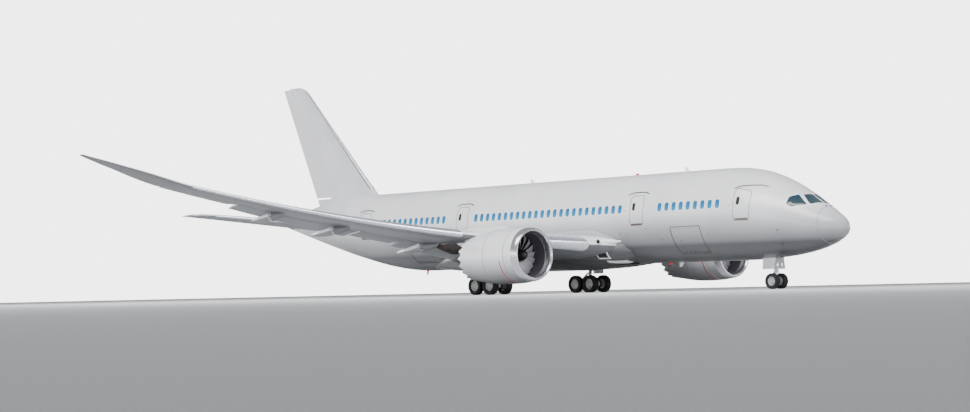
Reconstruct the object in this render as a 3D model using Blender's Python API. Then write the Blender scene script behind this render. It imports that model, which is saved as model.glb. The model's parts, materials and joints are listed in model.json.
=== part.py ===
"""A twin-engine wide-body airliner standing on its landing gear, as a 1:2 scale model.

Every size below is the full-size aircraft's, in metres. The objects hang under one empty that halves them.
A place is given as a station (metres aft of the nose), y (to port) and z (above the fuselage's centreline).
"""

import math

import bmesh
import bpy
from mathutils import Matrix, Vector

# Frame: +X forward, +Y to port, +Z up, with the ground at z = 0
SCALE = 0.5
MID_STATION = 28.325
CENTRELINE_HEIGHT = 4.85

# Gaps: between touching pieces, at pins and bores, and round moving pieces
SEAT = 0.0006
PIN_GAP = 0.0012
RUNNING = 0.012
PIN_SIDES = 8

# Fuselage outline as (station, value) points: crown, keel and half width
CROWN = [(0, -1.08), (0.25, -0.62), (1, -0.1), (2, 0.55), (3, 1.2), (4, 1.78), (5, 2.25), (6, 2.6),
         (7, 2.82), (8, 2.94), (9.5, 2.985), (44, 2.985), (46, 2.96), (48, 2.86), (50, 2.66),
         (52, 2.32), (54, 1.8), (55.9, 1.3)]
KEEL = [(0, -1.32), (0.25, -1.65), (1, -2.05), (2, -2.4), (3, -2.62), (4, -2.77), (5, -2.87), (6, -2.94),
        (7.5, -2.985), (38.6, -2.985), (40, -2.9), (42, -2.65), (46, -1.82), (50, -0.8), (55.9, 0.85)]
HALF_WIDTH = [(0, 0.14), (0.25, 0.55), (1, 1.2), (2, 1.72), (3, 2.1), (4, 2.39), (5, 2.6), (6, 2.73),
              (7, 2.81), (9, 2.885), (38, 2.885), (40, 2.86), (42, 2.76), (44, 2.6), (46, 2.35),
              (48, 2.02), (50, 1.62), (52, 1.17), (54, 0.68), (55.9, 0.2)]
RADOME_END = 1.3
FORWARD_END = 15.9
CENTRE_END = 35.75
AFT_END = 52.6
HULL_END = 55.9
HULL_SIDES = 32

# Wing-to-body fairing as (station, half width, bottom, top)
FAIRING = [(16.2, 2.0, -2.6, -1.6), (17.2, 2.8, -3.0, -0.75), (19.3, 3.3, -3.22, -0.12),
           (23, 3.5, -3.32, -0.3), (28, 3.5, -3.32, -0.5), (31.5, 3.2, -3.26, -0.95),
           (34, 2.6, -3.12, -1.6), (36.8, 1.2, -2.9, -2.4)]
FAIRING_SIDES = 24

# Cockpit glazing and cargo doors, as side-view outlines of (station, z)
GLAZING = [(1.72, 0.36), (2.1, 0.28), (2.9, 0.14), (3.35, 0.33), (3.36, 0.85), (2.95, 1.0), (2.62, 1.02),
           (2.45, 1.15), (1.72, 1.15)]
GLAZING_DEPTH = 0.05
DOOR_THICKNESS = 0.1
HOLD_INNER_Y = 1.0
DOOR_KNUCKLE = 0.028
DOOR_PIN = 0.011
DOOR_BOSS = 0.036
DOOR_BOSS_LENGTH = 0.09
GROOVE_PAST = 0.002
CARGO_DOORS = {"forward": (9.61, 12.09, -2.43, -0.78), "aft": (35.98, 38.05, -2.4, -1.0)}

# Wing planform as (y, station), and its leading edge's height
WING_LEADING = [(0, 15.15), (25.5, 32.65), (26.84, 33.45), (27.5, 34.0), (28.1, 34.75), (29.1, 36.35),
                (30.06, 38.3)]
WING_TRAILING = [(0, 28.85), (11, 29.7), (21.9, 33.85), (26.3, 36.25), (28.4, 37.35), (30.06, 38.9)]
WING_THICKNESS = [(2.9, 0.135), (10, 0.115), (20, 0.1), (30.06, 0.09)]
WING_TWIST = [(0, 3.5), (15, 0.5), (30.06, -1.0)]
WING_CUT = [(3.5, 0.815), (11, 0.75), (21.9, 0.71), (26, 0.7)]
WING_CAMBER = 0.014
WING_ROOT = 1.2
ROOT_SPAN = 2.9
BENT_TIP_SPAN = 25.5
WING_TIP = 30.06
RING_SPANS = [WING_ROOT, 3.2, 7, 13, 18, 22.5, 26.84, 27.5, 28.1, 28.7, 29.1, 29.6, WING_TIP]

# Movable surfaces as spans, with the droop that they stand at in degrees
FLAPS = {"inboard": (3.62, 11.3, 16.0), "outboard": (14.42, 21.85, 16.0)}
AILERONS = {"flaperon": (11.45, 14.2, 12.0), "aileron": (22.0, 25.9, 2.0)}
SLATS = {"inboard": (4.2, 8.1), "outboard": (11.1, 25.5)}
SLAT_CUT = (0.1, 0.05)
FLAP_SIDE_GAP = {"inboard": 0.07, "outboard": 0.22}
FLAP_OUTER_GAP = 0.07
AILERON_SIDE_GAP = 0.06
FLAP_HINGE_DROP = [(3.5, 0.42), (11.3, 0.38), (21.9, 0.3)]
COVE_LIP = 0.035
CANOES = {"inboard": [(10.1, 1.0)], "outboard": [(15.9, 0.92), (19.8, 0.8)]}

# Fin and rudder as (z, station)
FIN_LEADING = [(1.2, 42.6), (3.0, 44.5), (4.35, 45.9), (11.4, 52.8), (11.8, 53.3), (12.03, 54.0)]
FIN_TRAILING = [(1.2, 51.2), (2.3, 51.7), (12.03, 56.15)]
FIN_THICKNESS = [(1.2, 0.1), (12.03, 0.09)]
FIN_CUT = [(1.2, 0.745), (2.5, 0.745), (12.03, 0.63)]
FIN_SPANS = [1.2, 4.35, 8, 11.4, 11.8, 12.03]
RUDDER = (3.05, 11.95)

# Stabiliser and elevator as (y, station)
STAB_LEADING = [(0, 44.8), (9.3, 53.1), (9.75, 53.8), (9.9, 54.9)]
STAB_TRAILING = [(0, 51.6), (9.9, 56.65)]
STAB_THICKNESS = [(0, 0.1), (9.9, 0.085)]
STAB_CUT = [(0, 0.72), (9.3, 0.7), (9.9, 0.7)]
STAB_SPANS = [0.4, 5, 9.75, 9.9]
STAB_ROOT_Z = 0.42
STAB_DIHEDRAL = 7.5
ELEVATOR = (2.75, 9.3)
TAIL_SIDE_GAP = 0.12

# Hinge pins at a surface's ends: radius, how far the pin reaches out, and how deep its bore goes
AILERON_PIN = (0.015, 0.072, 0.13)
TAIL_PIN = (0.015, 0.24, 0.27)

# Flap hinge inside a track fairing: pin, half size of its lug and ears, and where the ears stand
FLAP_PIN = 0.015
KNUCKLE_HALF = 0.04
EAR_SPAN = (0.055, 0.09)
KNUCKLE_REACH = 0.38
FAIRING_SPLIT = (0.2, 0.16)

# Engines: y, the inlet's station and height, and profiles as (station aft of the inlet, radius)
ENGINE_Y = 9.8
INLET_STATION = 17.4
ENGINE_Z = -2.3
ENGINE_PITCH = 1.5
ENGINE_SIDES = 36
HUB_SIDES = 18
LIP_PROFILE = [(0.5, 1.745), (0.22, 1.69), (0.06, 1.63), (0.0, 1.58), (0.08, 1.51), (0.5, 1.42)]
LIP_WALL = 0.1
NACELLE_OUTER = [(0.5, 1.745), (1.1, 1.81), (2.1, 1.83), (3.3, 1.78), (4.4, 1.64), (5.5, 1.43)]
NACELLE_INNER = [(5.5, 1.4), (4.4, 1.5), (3.0, 1.52), (1.5, 1.46), (0.5, 1.42)]
CHEVRON_REACH = 0.16
FAN_FACE = 1.35
FAN_BLADES = 18
FAN_TIP = 1.395
BLADE_SECTIONS = [(0.36, 25, 0.34, 0.05), (FAN_TIP, 60, 0.5, 0.02)]
HUB_LENGTH = 0.5
SPINNER_PROFILE = [(0.72, 0.0), (0.82, 0.14), (1.1, 0.32), (1.35, 0.42), (1.85, 0.46)]
SHAFT_RADIUS = 0.12
SHAFT_REACH = 0.3
CORE_PROFILE = [(1.9, 0.46), (2.3, 0.62), (3.2, 0.92), (4.6, 0.9), (5.7, 0.72), (6.5, 0.6)]
CORE_NOZZLE_WALL = 0.03
PLUG_PROFILE = [(5.95, 0.42), (6.4, 0.43), (7.0, 0.3), (7.9, 0.03), (7.93, 0.0)]
VANES = 6
VANE_STATION = 2.7

# Pylon sections as (z, front station, back station, half width)
PYLON = [(-2.05, 22.6, 25.2, 0.16), (-1.7, 21.0, 26.2, 0.24), (-1.35, 20.4, 27.0, 0.27),
         (-0.9, 20.0, 26.6, 0.27), (-0.62, 19.5, 25.0, 0.24), (-0.4, 20.0, 23.4, 0.14)]

# Landing gear
NOSE_GEAR_STATION = 5.7
NOSE_TYRE = (0.508, 0.4)
NOSE_TRACK = 0.8
NOSE_LEG_RADIUS = 0.14
NOSE_LEG_SIDES = 20
NOSE_STEM_RADIUS = 0.1
NOSE_BORE = 0.3
NOSE_COLLAR = (0.161, 0.16)
NOSE_PISTON_RADIUS = 0.09
NOSE_HUB = 0.13
NOSE_BRACE_FOOT = 0.42
NOSE_DOOR = (5.9, -3.22)
NOSE_DOOR_SIZE = (1.0, 0.04, 0.75)
NOSE_DOOR_LEAN = 8.0
STAY_RADIUS = 0.07
STAY_SIDES = 10
NOSE_LEG_BOTTOM = -3.65
NOSE_WELL = (4.9, 6.5, 0.42, -2.35)
MAIN_GEAR_STATION = 26.9
MAIN_TYRE = (0.635, 0.5)
MAIN_Y = 4.9
MAIN_TWIN = 1.3
AXLE_SPACING = 1.46
AXLE_RADIUS = 0.075
MAIN_LEG_RADIUS = 0.2
BEAM_HALF = 0.15
LEG_DOOR_OUT = 0.4
LEG_DOOR_THICKNESS = 0.05
LEG_DOOR_AHEAD = 0.52
LEG_DOOR_Z = -2.75
LEG_DOOR_SIZE = (1.0, 1.5)
MAIN_LEG_LEAN = 0.25
MAIN_LEG_TOP = -1.9
MAIN_KNEE = 0.42
MAIN_PISTON_RADIUS = 0.13
SIDE_STAY_Y = 3.1
DRAG_STAY_AHEAD = 1.7
DOOR_LINK_AHEAD = 0.17
DOOR_LINK_HEIGHTS = (-2.75, -3.25)
DOOR_LINK_RADIUS = 0.05
WHEEL_SIDES = 18

# Colours as linear red, green, blue, with roughness and metallic
FINISHES = {
    "white_paint": ((0.78, 0.78, 0.8), 0.3, 0.0),
    "grey_paint": ((0.42, 0.43, 0.45), 0.35, 0.0),
    "bare_metal": ((0.75, 0.75, 0.77), 0.25, 1.0),
    "dark_metal": ((0.1, 0.1, 0.11), 0.45, 0.8),
    "engine_metal": ((0.35, 0.35, 0.38), 0.4, 0.9),
    "gear_paint": ((0.55, 0.56, 0.58), 0.4, 0.0),
    "rubber": ((0.025, 0.025, 0.027), 0.8, 0.0),
    "glass": ((0.02, 0.05, 0.07), 0.08, 0.0),
}

for old in list(bpy.data.objects):
    bpy.data.objects.remove(old, do_unlink=True)

parts = bpy.data.collections.new("airliner")
cutters = bpy.data.collections.new("cutters")
bpy.context.scene.collection.children.link(parts)
bpy.context.scene.collection.children.link(cutters)
half_size = bpy.data.objects.new("half_size", None)
half_size.scale = (SCALE, SCALE, SCALE)
parts.objects.link(half_size)


# Helpers

def at(station, y, z):
    """A place on the aircraft in the full-size frame."""
    return Vector((MID_STATION - station, y, CENTRELINE_HEIGHT + z))


def linear(curve, where):
    """The value at a place on a line through points, run on past its ends."""
    for (a, low), (b, high) in zip(curve, curve[1:]):
        if where <= b:
            break
    return low + (high - low) * (where - a) / (b - a)


def smooth(curve, where):
    """The value at a place on a smooth curve through points that never overshoots them."""
    where = min(max(where, curve[0][0]), curve[-1][0])
    slopes = [(d - b) / (c - a) for (a, b), (c, d) in zip(curve, curve[1:])]
    tangents = [slopes[0]]
    for before, after in zip(slopes, slopes[1:]):
        tangents.append(2 * before * after / (before + after) if before * after > 0 else 0.0)
    tangents.append(slopes[-1])
    for i, ((a, low), (b, high)) in enumerate(zip(curve, curve[1:])):
        if where <= b:
            break
    span = b - a
    t = (where - a) / span
    return (low * (1 + 2 * t) * (1 - t) ** 2 + high * t * t * (3 - 2 * t)
            + span * tangents[i] * t * (1 - t) ** 2 - span * tangents[i + 1] * t * t * (1 - t))


def finish(name):
    """The Principled material of that name, made once."""
    if name in bpy.data.materials:
        return bpy.data.materials[name]
    colour, roughness, metallic = FINISHES[name]
    material = bpy.data.materials.new(name)
    material.use_nodes = True
    shader = material.node_tree.nodes["Principled BSDF"]
    shader.inputs["Base Color"].default_value = (*colour, 1.0)
    shader.inputs["Roughness"].default_value = roughness
    shader.inputs["Metallic"].default_value = metallic
    return material


def add_object(name, bm, material=None, pivot=(0, 0, 0)):
    """Makes an object of a bmesh, its origin at the pivot. With no material it is a cutter."""
    bmesh.ops.remove_doubles(bm, verts=bm.verts, dist=0.00005)
    bmesh.ops.dissolve_degenerate(bm, edges=bm.edges, dist=0.00001)
    bmesh.ops.triangulate(bm, faces=bm.faces, quad_method="FIXED", ngon_method="EAR_CLIP")
    bmesh.ops.recalc_face_normals(bm, faces=bm.faces)
    bmesh.ops.translate(bm, verts=bm.verts, vec=-Vector(pivot))
    mesh = bpy.data.meshes.new(name)
    bm.to_mesh(mesh)
    bm.free()
    obj = bpy.data.objects.new(name, mesh)
    obj.location = pivot
    obj.parent = half_size
    if material is None:
        cutters.objects.link(obj)
        obj.hide_render = True
        obj.display_type = "WIRE"
    else:
        parts.objects.link(obj)
        mesh.materials.append(finish(material))
        mesh.shade_smooth()
        mesh.set_sharp_from_angle(angle=math.radians(35))
    return obj


def combine(obj, operation, *others):
    """Cuts, joins or intersects an object with others."""
    for other in others:
        modifier = obj.modifiers.new(f"{operation.lower()} {other.name}", "BOOLEAN")
        modifier.operation = operation
        modifier.object = other
        modifier.solver = "EXACT"
    return obj


def skin(bm, rings):
    """Faces between like rings of points, with both ends closed."""
    loops = [[bm.verts.new(point) for point in ring] for ring in rings]
    count = len(rings[0])
    for low, high in zip(loops, loops[1:]):
        for i in range(count):
            j = (i + 1) % count
            bm.faces.new((low[i], low[j], high[j], high[i]))
    bm.faces.new(reversed(loops[0]))
    bm.faces.new(loops[-1])


def loft(name, rings, material=None, pivot=(0, 0, 0)):
    bm = bmesh.new()
    skin(bm, rings)
    return add_object(name, bm, material, pivot)


def spin(bm, profile, sides, centre, axis, start, closed):
    """Turns a profile of (distance along the axis, radius) once about the axis."""
    verts = [bm.verts.new(centre + axis * along + start * radius) for along, radius in profile]
    pairs = list(zip(verts, verts[1:])) + ([(verts[-1], verts[0])] if closed else [])
    edges = [bm.edges.new(pair) for pair in pairs]
    bmesh.ops.spin(bm, geom=verts + edges, cent=centre, axis=axis, angle=math.tau, steps=sides, use_merge=True)


def turned(name, profile, sides, centre, axis, start, material=None, closed=False, pivot=None):
    bm = bmesh.new()
    spin(bm, profile, sides, centre, axis, start, closed)
    return add_object(name, bm, material, centre if pivot is None else pivot)


def rod(name, first, last, radius, sides=16, material=None, end_radius=None, pivot=None):
    """A round bar between two points."""
    along = last - first
    bm = bmesh.new()
    place = Matrix.Translation((first + last) / 2) @ along.to_track_quat("Z", "Y").to_matrix().to_4x4()
    bmesh.ops.create_cone(bm, cap_ends=True, segments=sides, radius1=radius, depth=along.length,
                          radius2=radius if end_radius is None else end_radius, matrix=place)
    return add_object(name, bm, material, first if pivot is None else pivot)


def block(name, centre, size, bevel=0.0, material=None, turn=None, pivot=None):
    """A box with rounded edges, turned about its centre."""
    bm = bmesh.new()
    bmesh.ops.create_cube(bm, size=1.0)
    bmesh.ops.scale(bm, vec=size, verts=bm.verts)
    if bevel:
        bmesh.ops.bevel(bm, geom=bm.edges, offset=bevel, segments=2, profile=0.5, affect="EDGES")
    place = Matrix.Translation(centre) @ (turn or Matrix())
    bmesh.ops.transform(bm, matrix=place, verts=bm.verts)
    return add_object(name, bm, material, centre if pivot is None else pivot)


# Hinges

def bored(radius, sides=PIN_SIDES):
    """The corner radius of a bore that clears a round pin."""
    return (radius + SEAT) / math.cos(math.pi / sides)


def end_pins(moving, fixed, line, sizes, ends=2):
    """Pins on the hinge line at one or both ends of a surface, each in a bore of what carries it."""
    radius, reach, depth = sizes
    along = (line[1] - line[0]).normalized()
    for number, (end, out) in enumerate(((line[0], -along), (line[1], along))[:ends]):
        pin = rod(f"pin_{number}_{moving.name}", end - out * reach, end + out * reach, radius, PIN_SIDES)
        bore = rod(f"bore_{number}_{moving.name}", end, end + out * depth, bored(radius), PIN_SIDES)
        combine(moving, "UNION", pin)
        combine(fixed, "DIFFERENCE", bore)


def flap_knuckle(wing, flap, line, span):
    """A lug on the flap's half of a track fairing, on a pin between two ears of the wing's half."""
    start, end = abs(line[0].y), abs(line[1].y)
    centre = line[0].lerp(line[1], (span - start) / (end - start))
    along = (line[1] - line[0]).normalized()
    forward = (Vector((1, 0, 0)) - along * along.x).normalized()
    turn = Matrix((forward, along, forward.cross(along))).transposed().to_4x4()
    mark = f"{span}_{flap.name}"
    length = KNUCKLE_REACH + KNUCKLE_HALF
    ahead = forward * (KNUCKLE_REACH - KNUCKLE_HALF) / 2
    ear_middle, ear_width = sum(EAR_SPAN) / 2, EAR_SPAN[1] - EAR_SPAN[0]
    height = KNUCKLE_HALF * 2
    for number, way in enumerate((1, -1)):
        ear = block(f"ear_{number}_{mark}", centre + ahead + along * way * ear_middle, (length, ear_width, height),
                    turn=turn)
        combine(wing, "UNION", ear)
    lug = block(f"lug_{mark}", centre - ahead, (length, height, height), turn=turn)
    reach = along * EAR_SPAN[1]
    combine(flap, "UNION", lug, rod(f"flap_pin_{mark}", centre - reach, centre + reach, FLAP_PIN, PIN_SIDES))
    reach *= 1.3
    combine(wing, "DIFFERENCE", rod(f"flap_bore_{mark}", centre - reach, centre + reach, bored(FLAP_PIN), PIN_SIDES))


# Fuselage

def hull_ring(station, grow=0.0):
    """The fuselage's near-oval section, starting at its crown."""
    crown = smooth(CROWN, station) + grow
    keel = smooth(KEEL, station) - grow
    width = smooth(HALF_WIDTH, station) + grow
    middle = (crown + keel) / 2
    height = (crown - keel) / 2
    turns = [math.tau * i / HULL_SIDES for i in range(HULL_SIDES)]
    return [at(station, width * math.sin(turn), middle + height * math.cos(turn)) for turn in turns]


def hull_stations(start, end):
    """Section places between two stations: close together where the outline bends."""
    places = [0, 0.1, 0.25, 0.55, 1, RADOME_END, 2, 3, 4, 5, 6, 7.2, 8.4, 9.6, FORWARD_END, CENTRE_END, 38, 38.6,
              40, 42, 44, 46, 48, 50, 51.4, AFT_END, 54, 55.2, HULL_END]
    return [start] + [place for place in places if start + 2 * SEAT < place < end - 2 * SEAT] + [end]


def hull_piece(name, start, end, material=None, grow=0.0):
    return loft(name, [hull_ring(station, grow) for station in hull_stations(start, end)], material)


def outline_prism(name, outline, inner_y, outer_y, grow=0.0):
    """A side-view outline carried across the aircraft, grown outwards from its middle."""
    middle = sum((Vector(point) for point in outline), Vector((0, 0))) / len(outline)
    points = [Vector(point) + (Vector(point) - middle).normalized() * grow for point in outline]
    return loft(name, [[at(s, y, z) for s, z in points] for y in (inner_y, outer_y)])


def make_fuselage():
    hull_piece("radome", 0, RADOME_END - SEAT, "white_paint")
    forward = hull_piece("fuselage_forward", RADOME_END, FORWARD_END - SEAT, "white_paint")
    hull_piece("fuselage_centre", FORWARD_END, CENTRE_END - SEAT, "white_paint")
    aft = hull_piece("fuselage_aft", CENTRE_END, AFT_END - SEAT, "white_paint")
    hull_piece("tail_cone", AFT_END, HULL_END, "white_paint")

    core = hull_piece("glazing_core", 1.4, 6.0, grow=-GLAZING_DEPTH)
    pocket = combine(outline_prism("glazing_pocket", GLAZING, -3, 3, SEAT * 2), "DIFFERENCE", core)
    combine(forward, "DIFFERENCE", pocket)
    glass_core = hull_piece("glass_core", 1.4, 6.0, grow=-GLAZING_DEPTH + SEAT)
    glass_skin = hull_piece("glass_skin", 1.35, 6.2, grow=-SEAT)
    glass = outline_prism("cockpit_windows", GLAZING, -3, 3)
    cutters.objects.unlink(glass)
    parts.objects.link(glass)
    glass.hide_render = False
    glass.display_type = "TEXTURED"
    glass.data.materials.append(finish("glass"))
    combine(combine(glass, "INTERSECT", glass_skin), "DIFFERENCE", glass_core)

    for name, (start, end, bottom, top) in CARGO_DOORS.items():
        make_cargo_door(name, start, end, bottom, top, forward if name == "forward" else aft)

    well_start, well_end, half_width, ceiling = NOSE_WELL
    well = block("nose_well", at((well_start + well_end) / 2, 0, ceiling - 0.6),
                 (well_end - well_start, half_width * 2, 1.2))
    combine(forward, "DIFFERENCE", well)


def hull_side_y(station, z):
    """How far out the fuselage's skin is at a height."""
    crown = smooth(CROWN, station)
    keel = smooth(KEEL, station)
    share = (z - (crown + keel) / 2) / ((crown - keel) / 2)
    return smooth(HALF_WIDTH, station) * math.sqrt(max(0.0, 1 - share * share))


def cargo_hinge(start, end, top):
    """The two ends of a cargo door's hinge line, in the skin along its top edge."""
    out = max(hull_side_y(start, top), hull_side_y(end, top))
    return at(start, -out, top), at(end, -out, top)


def make_cargo_door(name, start, end, bottom, top, hull):
    """A curved panel of the starboard skin with a hold behind it."""
    frame = [(start, bottom), (end, bottom), (end, top), (start, top)]
    hold = outline_prism(f"hold_{name}", frame, -HOLD_INNER_Y, -4.0)
    combine(hull, "DIFFERENCE", hold)
    low = [(start + RUNNING, bottom + RUNNING), (end - RUNNING, bottom + RUNNING)]
    high = [(end - RUNNING, top - RUNNING), (start + RUNNING, top - RUNNING)]
    hinge = cargo_hinge(start, end, top)
    door = loft(f"cargo_door_{name}", [[at(s, y, z) for s, z in low + high] for y in (-HOLD_INNER_Y, -4.0)],
                "white_paint", (hinge[0] + hinge[1]) / 2)
    outer = hull_piece(f"door_skin_{name}", start - 0.5, end + 0.5)
    inner = hull_piece(f"door_core_{name}", start - 0.4, end + 0.4, grow=-DOOR_THICKNESS)
    combine(combine(door, "INTERSECT", outer), "DIFFERENCE", inner)

    ahead = Vector((1, 0, 0))
    for end, out in ((hinge[0], ahead), (hinge[1], -ahead)):
        mark = f"{name}_{'front' if out.x > 0 else 'rear'}"
        boss = rod(f"boss_{mark}", end + out * GROOVE_PAST * 2, end + out * DOOR_BOSS_LENGTH, DOOR_BOSS, PIN_SIDES)
        pin_end = end + out * DOOR_BOSS_LENGTH * 0.7
        combine(hull, "UNION", boss)
        combine(hull, "DIFFERENCE", rod(f"bore_{mark}", end - out * RUNNING, pin_end + out * PIN_GAP,
                                        bored(DOOR_PIN), PIN_SIDES))
        combine(door, "UNION", rod(f"pin_{mark}", end - out * DOOR_BOSS_LENGTH, pin_end, DOOR_PIN, PIN_SIDES))
    past = ahead * GROOVE_PAST
    groove = rod(f"groove_{name}", hinge[0] + past, hinge[1] - past, DOOR_KNUCKLE + RUNNING, PIN_SIDES)
    knuckle = rod(f"knuckle_{name}", hinge[0] - ahead * RUNNING, hinge[1] + ahead * RUNNING, DOOR_KNUCKLE, PIN_SIDES)
    combine(hull, "DIFFERENCE", groove)
    combine(door, "UNION", knuckle)


# Wing-to-body fairing

def fairing_ring(station, half_width, bottom, top, grow=0.0):
    """A squarish oval section."""
    ring = []
    for i in range(FAIRING_SIDES):
        turn = math.tau * i / FAIRING_SIDES
        across = math.copysign(abs(math.sin(turn)) ** 0.8, math.sin(turn))
        up = math.copysign(abs(math.cos(turn)) ** 0.8, math.cos(turn))
        middle = (bottom + top) / 2
        ring.append(at(station, (half_width + grow) * across, middle + ((top - bottom) / 2 + grow) * up))
    return ring


def fairing_shape(name, material=None, grow=0.0):
    rows = [(station, smooth([(r[0], r[1]) for r in FAIRING], station),
             smooth([(r[0], r[2]) for r in FAIRING], station),
             smooth([(r[0], r[3]) for r in FAIRING], station))
            for station in (16.2, 16.7, 17.2, 18.2, 19.3, 23, 28, 30, 31.5, 33, 34, 35.4, 36.8)]
    return loft(name, [fairing_ring(*row, grow) for row in rows], material)


# Wings, fin and stabilisers

def profile_height(fraction):
    """Half thickness of the section, as a share of its full thickness."""
    f = fraction
    return 5 * (0.2969 * math.sqrt(f) - 0.126 * f - 0.3516 * f * f + 0.2843 * f ** 3 - 0.1036 * f ** 4) + 0.012 * f


class Surface:
    """A wing-like surface: its outline, its section and where its span runs."""

    def __init__(self, leading, trailing, thickness, cut, place, places, camber=0.0, twist=None):
        self.leading = leading
        self.trailing = trailing
        self.thickness = thickness
        self.cut = cut
        self.place = place
        self.places = places
        self.camber = camber
        self.twist = twist or [(0, 0.0), (1, 0.0)]

    def chord(self, span):
        return linear(self.trailing, span) - linear(self.leading, span)

    def half_thickness(self, span, fraction):
        return linear(self.thickness, span) * self.chord(span) * profile_height(fraction)

    def point(self, span, fraction, side, extra=0.0):
        """A point of the skin: side is 1 above, -1 below and 0 on the mean line; extra lifts it.

        Between two sections the skin runs straight, so a surface that starts between them still fits.
        """
        inner = max(place for place in self.places if place <= span + SEAT)
        outer = min([place for place in self.places if place > inner + SEAT], default=inner)
        share = (span - inner) / (outer - inner) if outer > inner else 0.0
        start = self.section_point(inner, fraction, side, extra)
        return start.lerp(self.section_point(outer, fraction, side, extra), share)

    def section_point(self, span, fraction, side, extra):
        chord = self.chord(span)
        lift = self.camber * 4 * fraction * (1 - fraction) * chord + side * self.half_thickness(span, fraction)
        lift -= fraction * chord * math.sin(math.radians(linear(self.twist, span)))
        return self.place(span, linear(self.leading, span) + fraction * chord, lift + extra)

    def ring(self, span, slat=False, rear=None, grow=0.0):
        """The fixed section: its nose drawn back behind a slat, its tail drawn in ahead of a flap."""
        cut = linear(self.cut, span)
        upper_cut = cut + (COVE_LIP if rear == "cove" else 0.0)
        middle = (0.2, 0.38, 0.58)
        nose_up = [SLAT_CUT[0]] * 2 if slat else [0.012, 0.04]
        nose_down = [SLAT_CUT[1]] * 2 if slat else [0.012, 0.03]
        upper = [upper_cut if rear else 1.0, upper_cut, *reversed(middle), SLAT_CUT[0], *reversed(nose_up)]
        lower = [*nose_down, SLAT_CUT[1], *middle, cut, cut if rear else 1.0]
        tip = self.point(span, SLAT_CUT[0], 1, grow) if slat else self.point(span, 0.0, 0)
        return ([self.point(span, f, 1, grow) for f in upper] + [tip]
                + [self.point(span, f, -1, -grow) for f in lower])

    def slat_ring(self, span):
        """A slat's section, run so that its back splits into triangles the way the wing's front does."""
        gap = SEAT / self.chord(span)
        lower = [SLAT_CUT[1] - gap, 0.03, 0.012]
        upper = [0.012, 0.04, SLAT_CUT[0] - gap]
        return ([self.point(span, f, -1) for f in lower] + [self.point(span, 0.0, 0)]
                + [self.point(span, f, 1) for f in upper])

    def flap_ring(self, span):
        """A flap's section, its slanting front under the wing's lip."""
        cut = linear(self.cut, span)
        clear = Vector((-RUNNING * 2.2, 0, 0))
        front = cut + COVE_LIP - clear.x / self.chord(span)
        low = cut - clear.x / self.chord(span)
        upper = [self.point(span, f, 1) for f in (1.0, (front + 1) / 2, front + 0.02)]
        wall_top, wall_foot = self.point(span, cut + COVE_LIP, 1), self.point(span, cut, -1)
        nose = [wall_top.lerp(wall_foot, share) + clear for share in (0.1, 0.5, 0.9)]
        lower = [self.point(span, f, -1) for f in (low + 0.02, (low + 1) / 2, 1.0)]
        return upper + nose + lower

    def hinge_fraction(self, span):
        cut = linear(self.cut, span)
        return cut + (self.half_thickness(span, cut) + RUNNING * 1.6) / self.chord(span)

    def hinged_ring(self, span):
        """A control surface's section: a round nose about its hinge, and a straight taper aft."""
        fraction = self.hinge_fraction(span)
        radius = self.half_thickness(span, fraction)
        chord = self.chord(span)
        nose = []
        for degrees in (90, 50, 18, -18, -50, -90):
            turn = math.radians(degrees)
            nose.append(self.point(span, fraction - radius * math.cos(turn) / chord, 0, radius * math.sin(turn)))
        return [self.point(span, 1.0, 1)] + nose + [self.point(span, 1.0, -1)]


def turn_about(points, line, degrees):
    """Points turned about a line: a positive angle drops what lies aft of it."""
    first, last = line
    turn = (Matrix.Translation(first) @ Matrix.Rotation(math.radians(degrees), 4, last - first)
            @ Matrix.Translation(-first))
    return [turn @ point for point in points]


def starboard_first(line):
    """A hinge line run from port to starboard, so that a positive turn is trailing edge down."""
    return line if line[0].y > line[1].y else (line[1], line[0])


def wing_height(span):
    """The flexed wing's leading edge, above the centreline."""
    out = span - ROOT_SPAN
    tip = max(0.0, span - BENT_TIP_SPAN) / (WING_TIP - BENT_TIP_SPAN)
    return -1.75 + 0.0676 * out + 0.005367 * out * out + 0.75 * tip * tip


def wing_surface(side):
    def place(span, station, lift):
        return at(station, side * span, wing_height(span) + lift)
    return Surface(WING_LEADING, WING_TRAILING, WING_THICKNESS, WING_CUT, place, wing_places(), WING_CAMBER,
                   WING_TWIST)


def spans_between(surface, start, end):
    """The two ends and every section of the surface between them."""
    return [start] + [place for place in surface.places if start + 0.05 < place < end - 0.05] + [end]


def flap_coves():
    return [(a - FLAP_SIDE_GAP[name], b + FLAP_OUTER_GAP) for name, (a, b, droop) in FLAPS.items()]


def aileron_walls():
    return [(a - AILERON_SIDE_GAP, b + AILERON_SIDE_GAP) for a, b, droop in AILERONS.values()]


def wing_places():
    """Where the wing has sections: at set spans, and where a slat, flap or aileron starts or ends."""
    return sorted(set(RING_SPANS) | {end for pair in [*SLATS.values(), *flap_coves(), *aileron_walls()]
                                     for end in pair})


def wing_rings(surface, grow=0.0):
    """The fixed wing's sections, doubled where a slat, flap or aileron starts or ends."""
    rings = []
    for start, end in zip(surface.places, surface.places[1:]):
        mid = (start + end) / 2
        slat = any(a < mid < b for a, b in SLATS.values())
        rear = "cove" if any(a < mid < b for a, b in flap_coves()) else None
        rear = "wall" if any(a < mid < b for a, b in aileron_walls()) else rear
        for span in (start, end):
            rings.append(surface.ring(span, slat, rear, grow))
    return rings


def flap_hinge(surface, start, end):
    line = []
    for span in (start, end):
        drop = linear(FLAP_HINGE_DROP, span)
        line.append(surface.point(span, linear(surface.cut, span) + 0.02, -1, -drop))
    return starboard_first(tuple(line))


def control_hinge(surface, start, end):
    return starboard_first(tuple(surface.point(span, surface.hinge_fraction(span), 0) for span in (start, end)))


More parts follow.
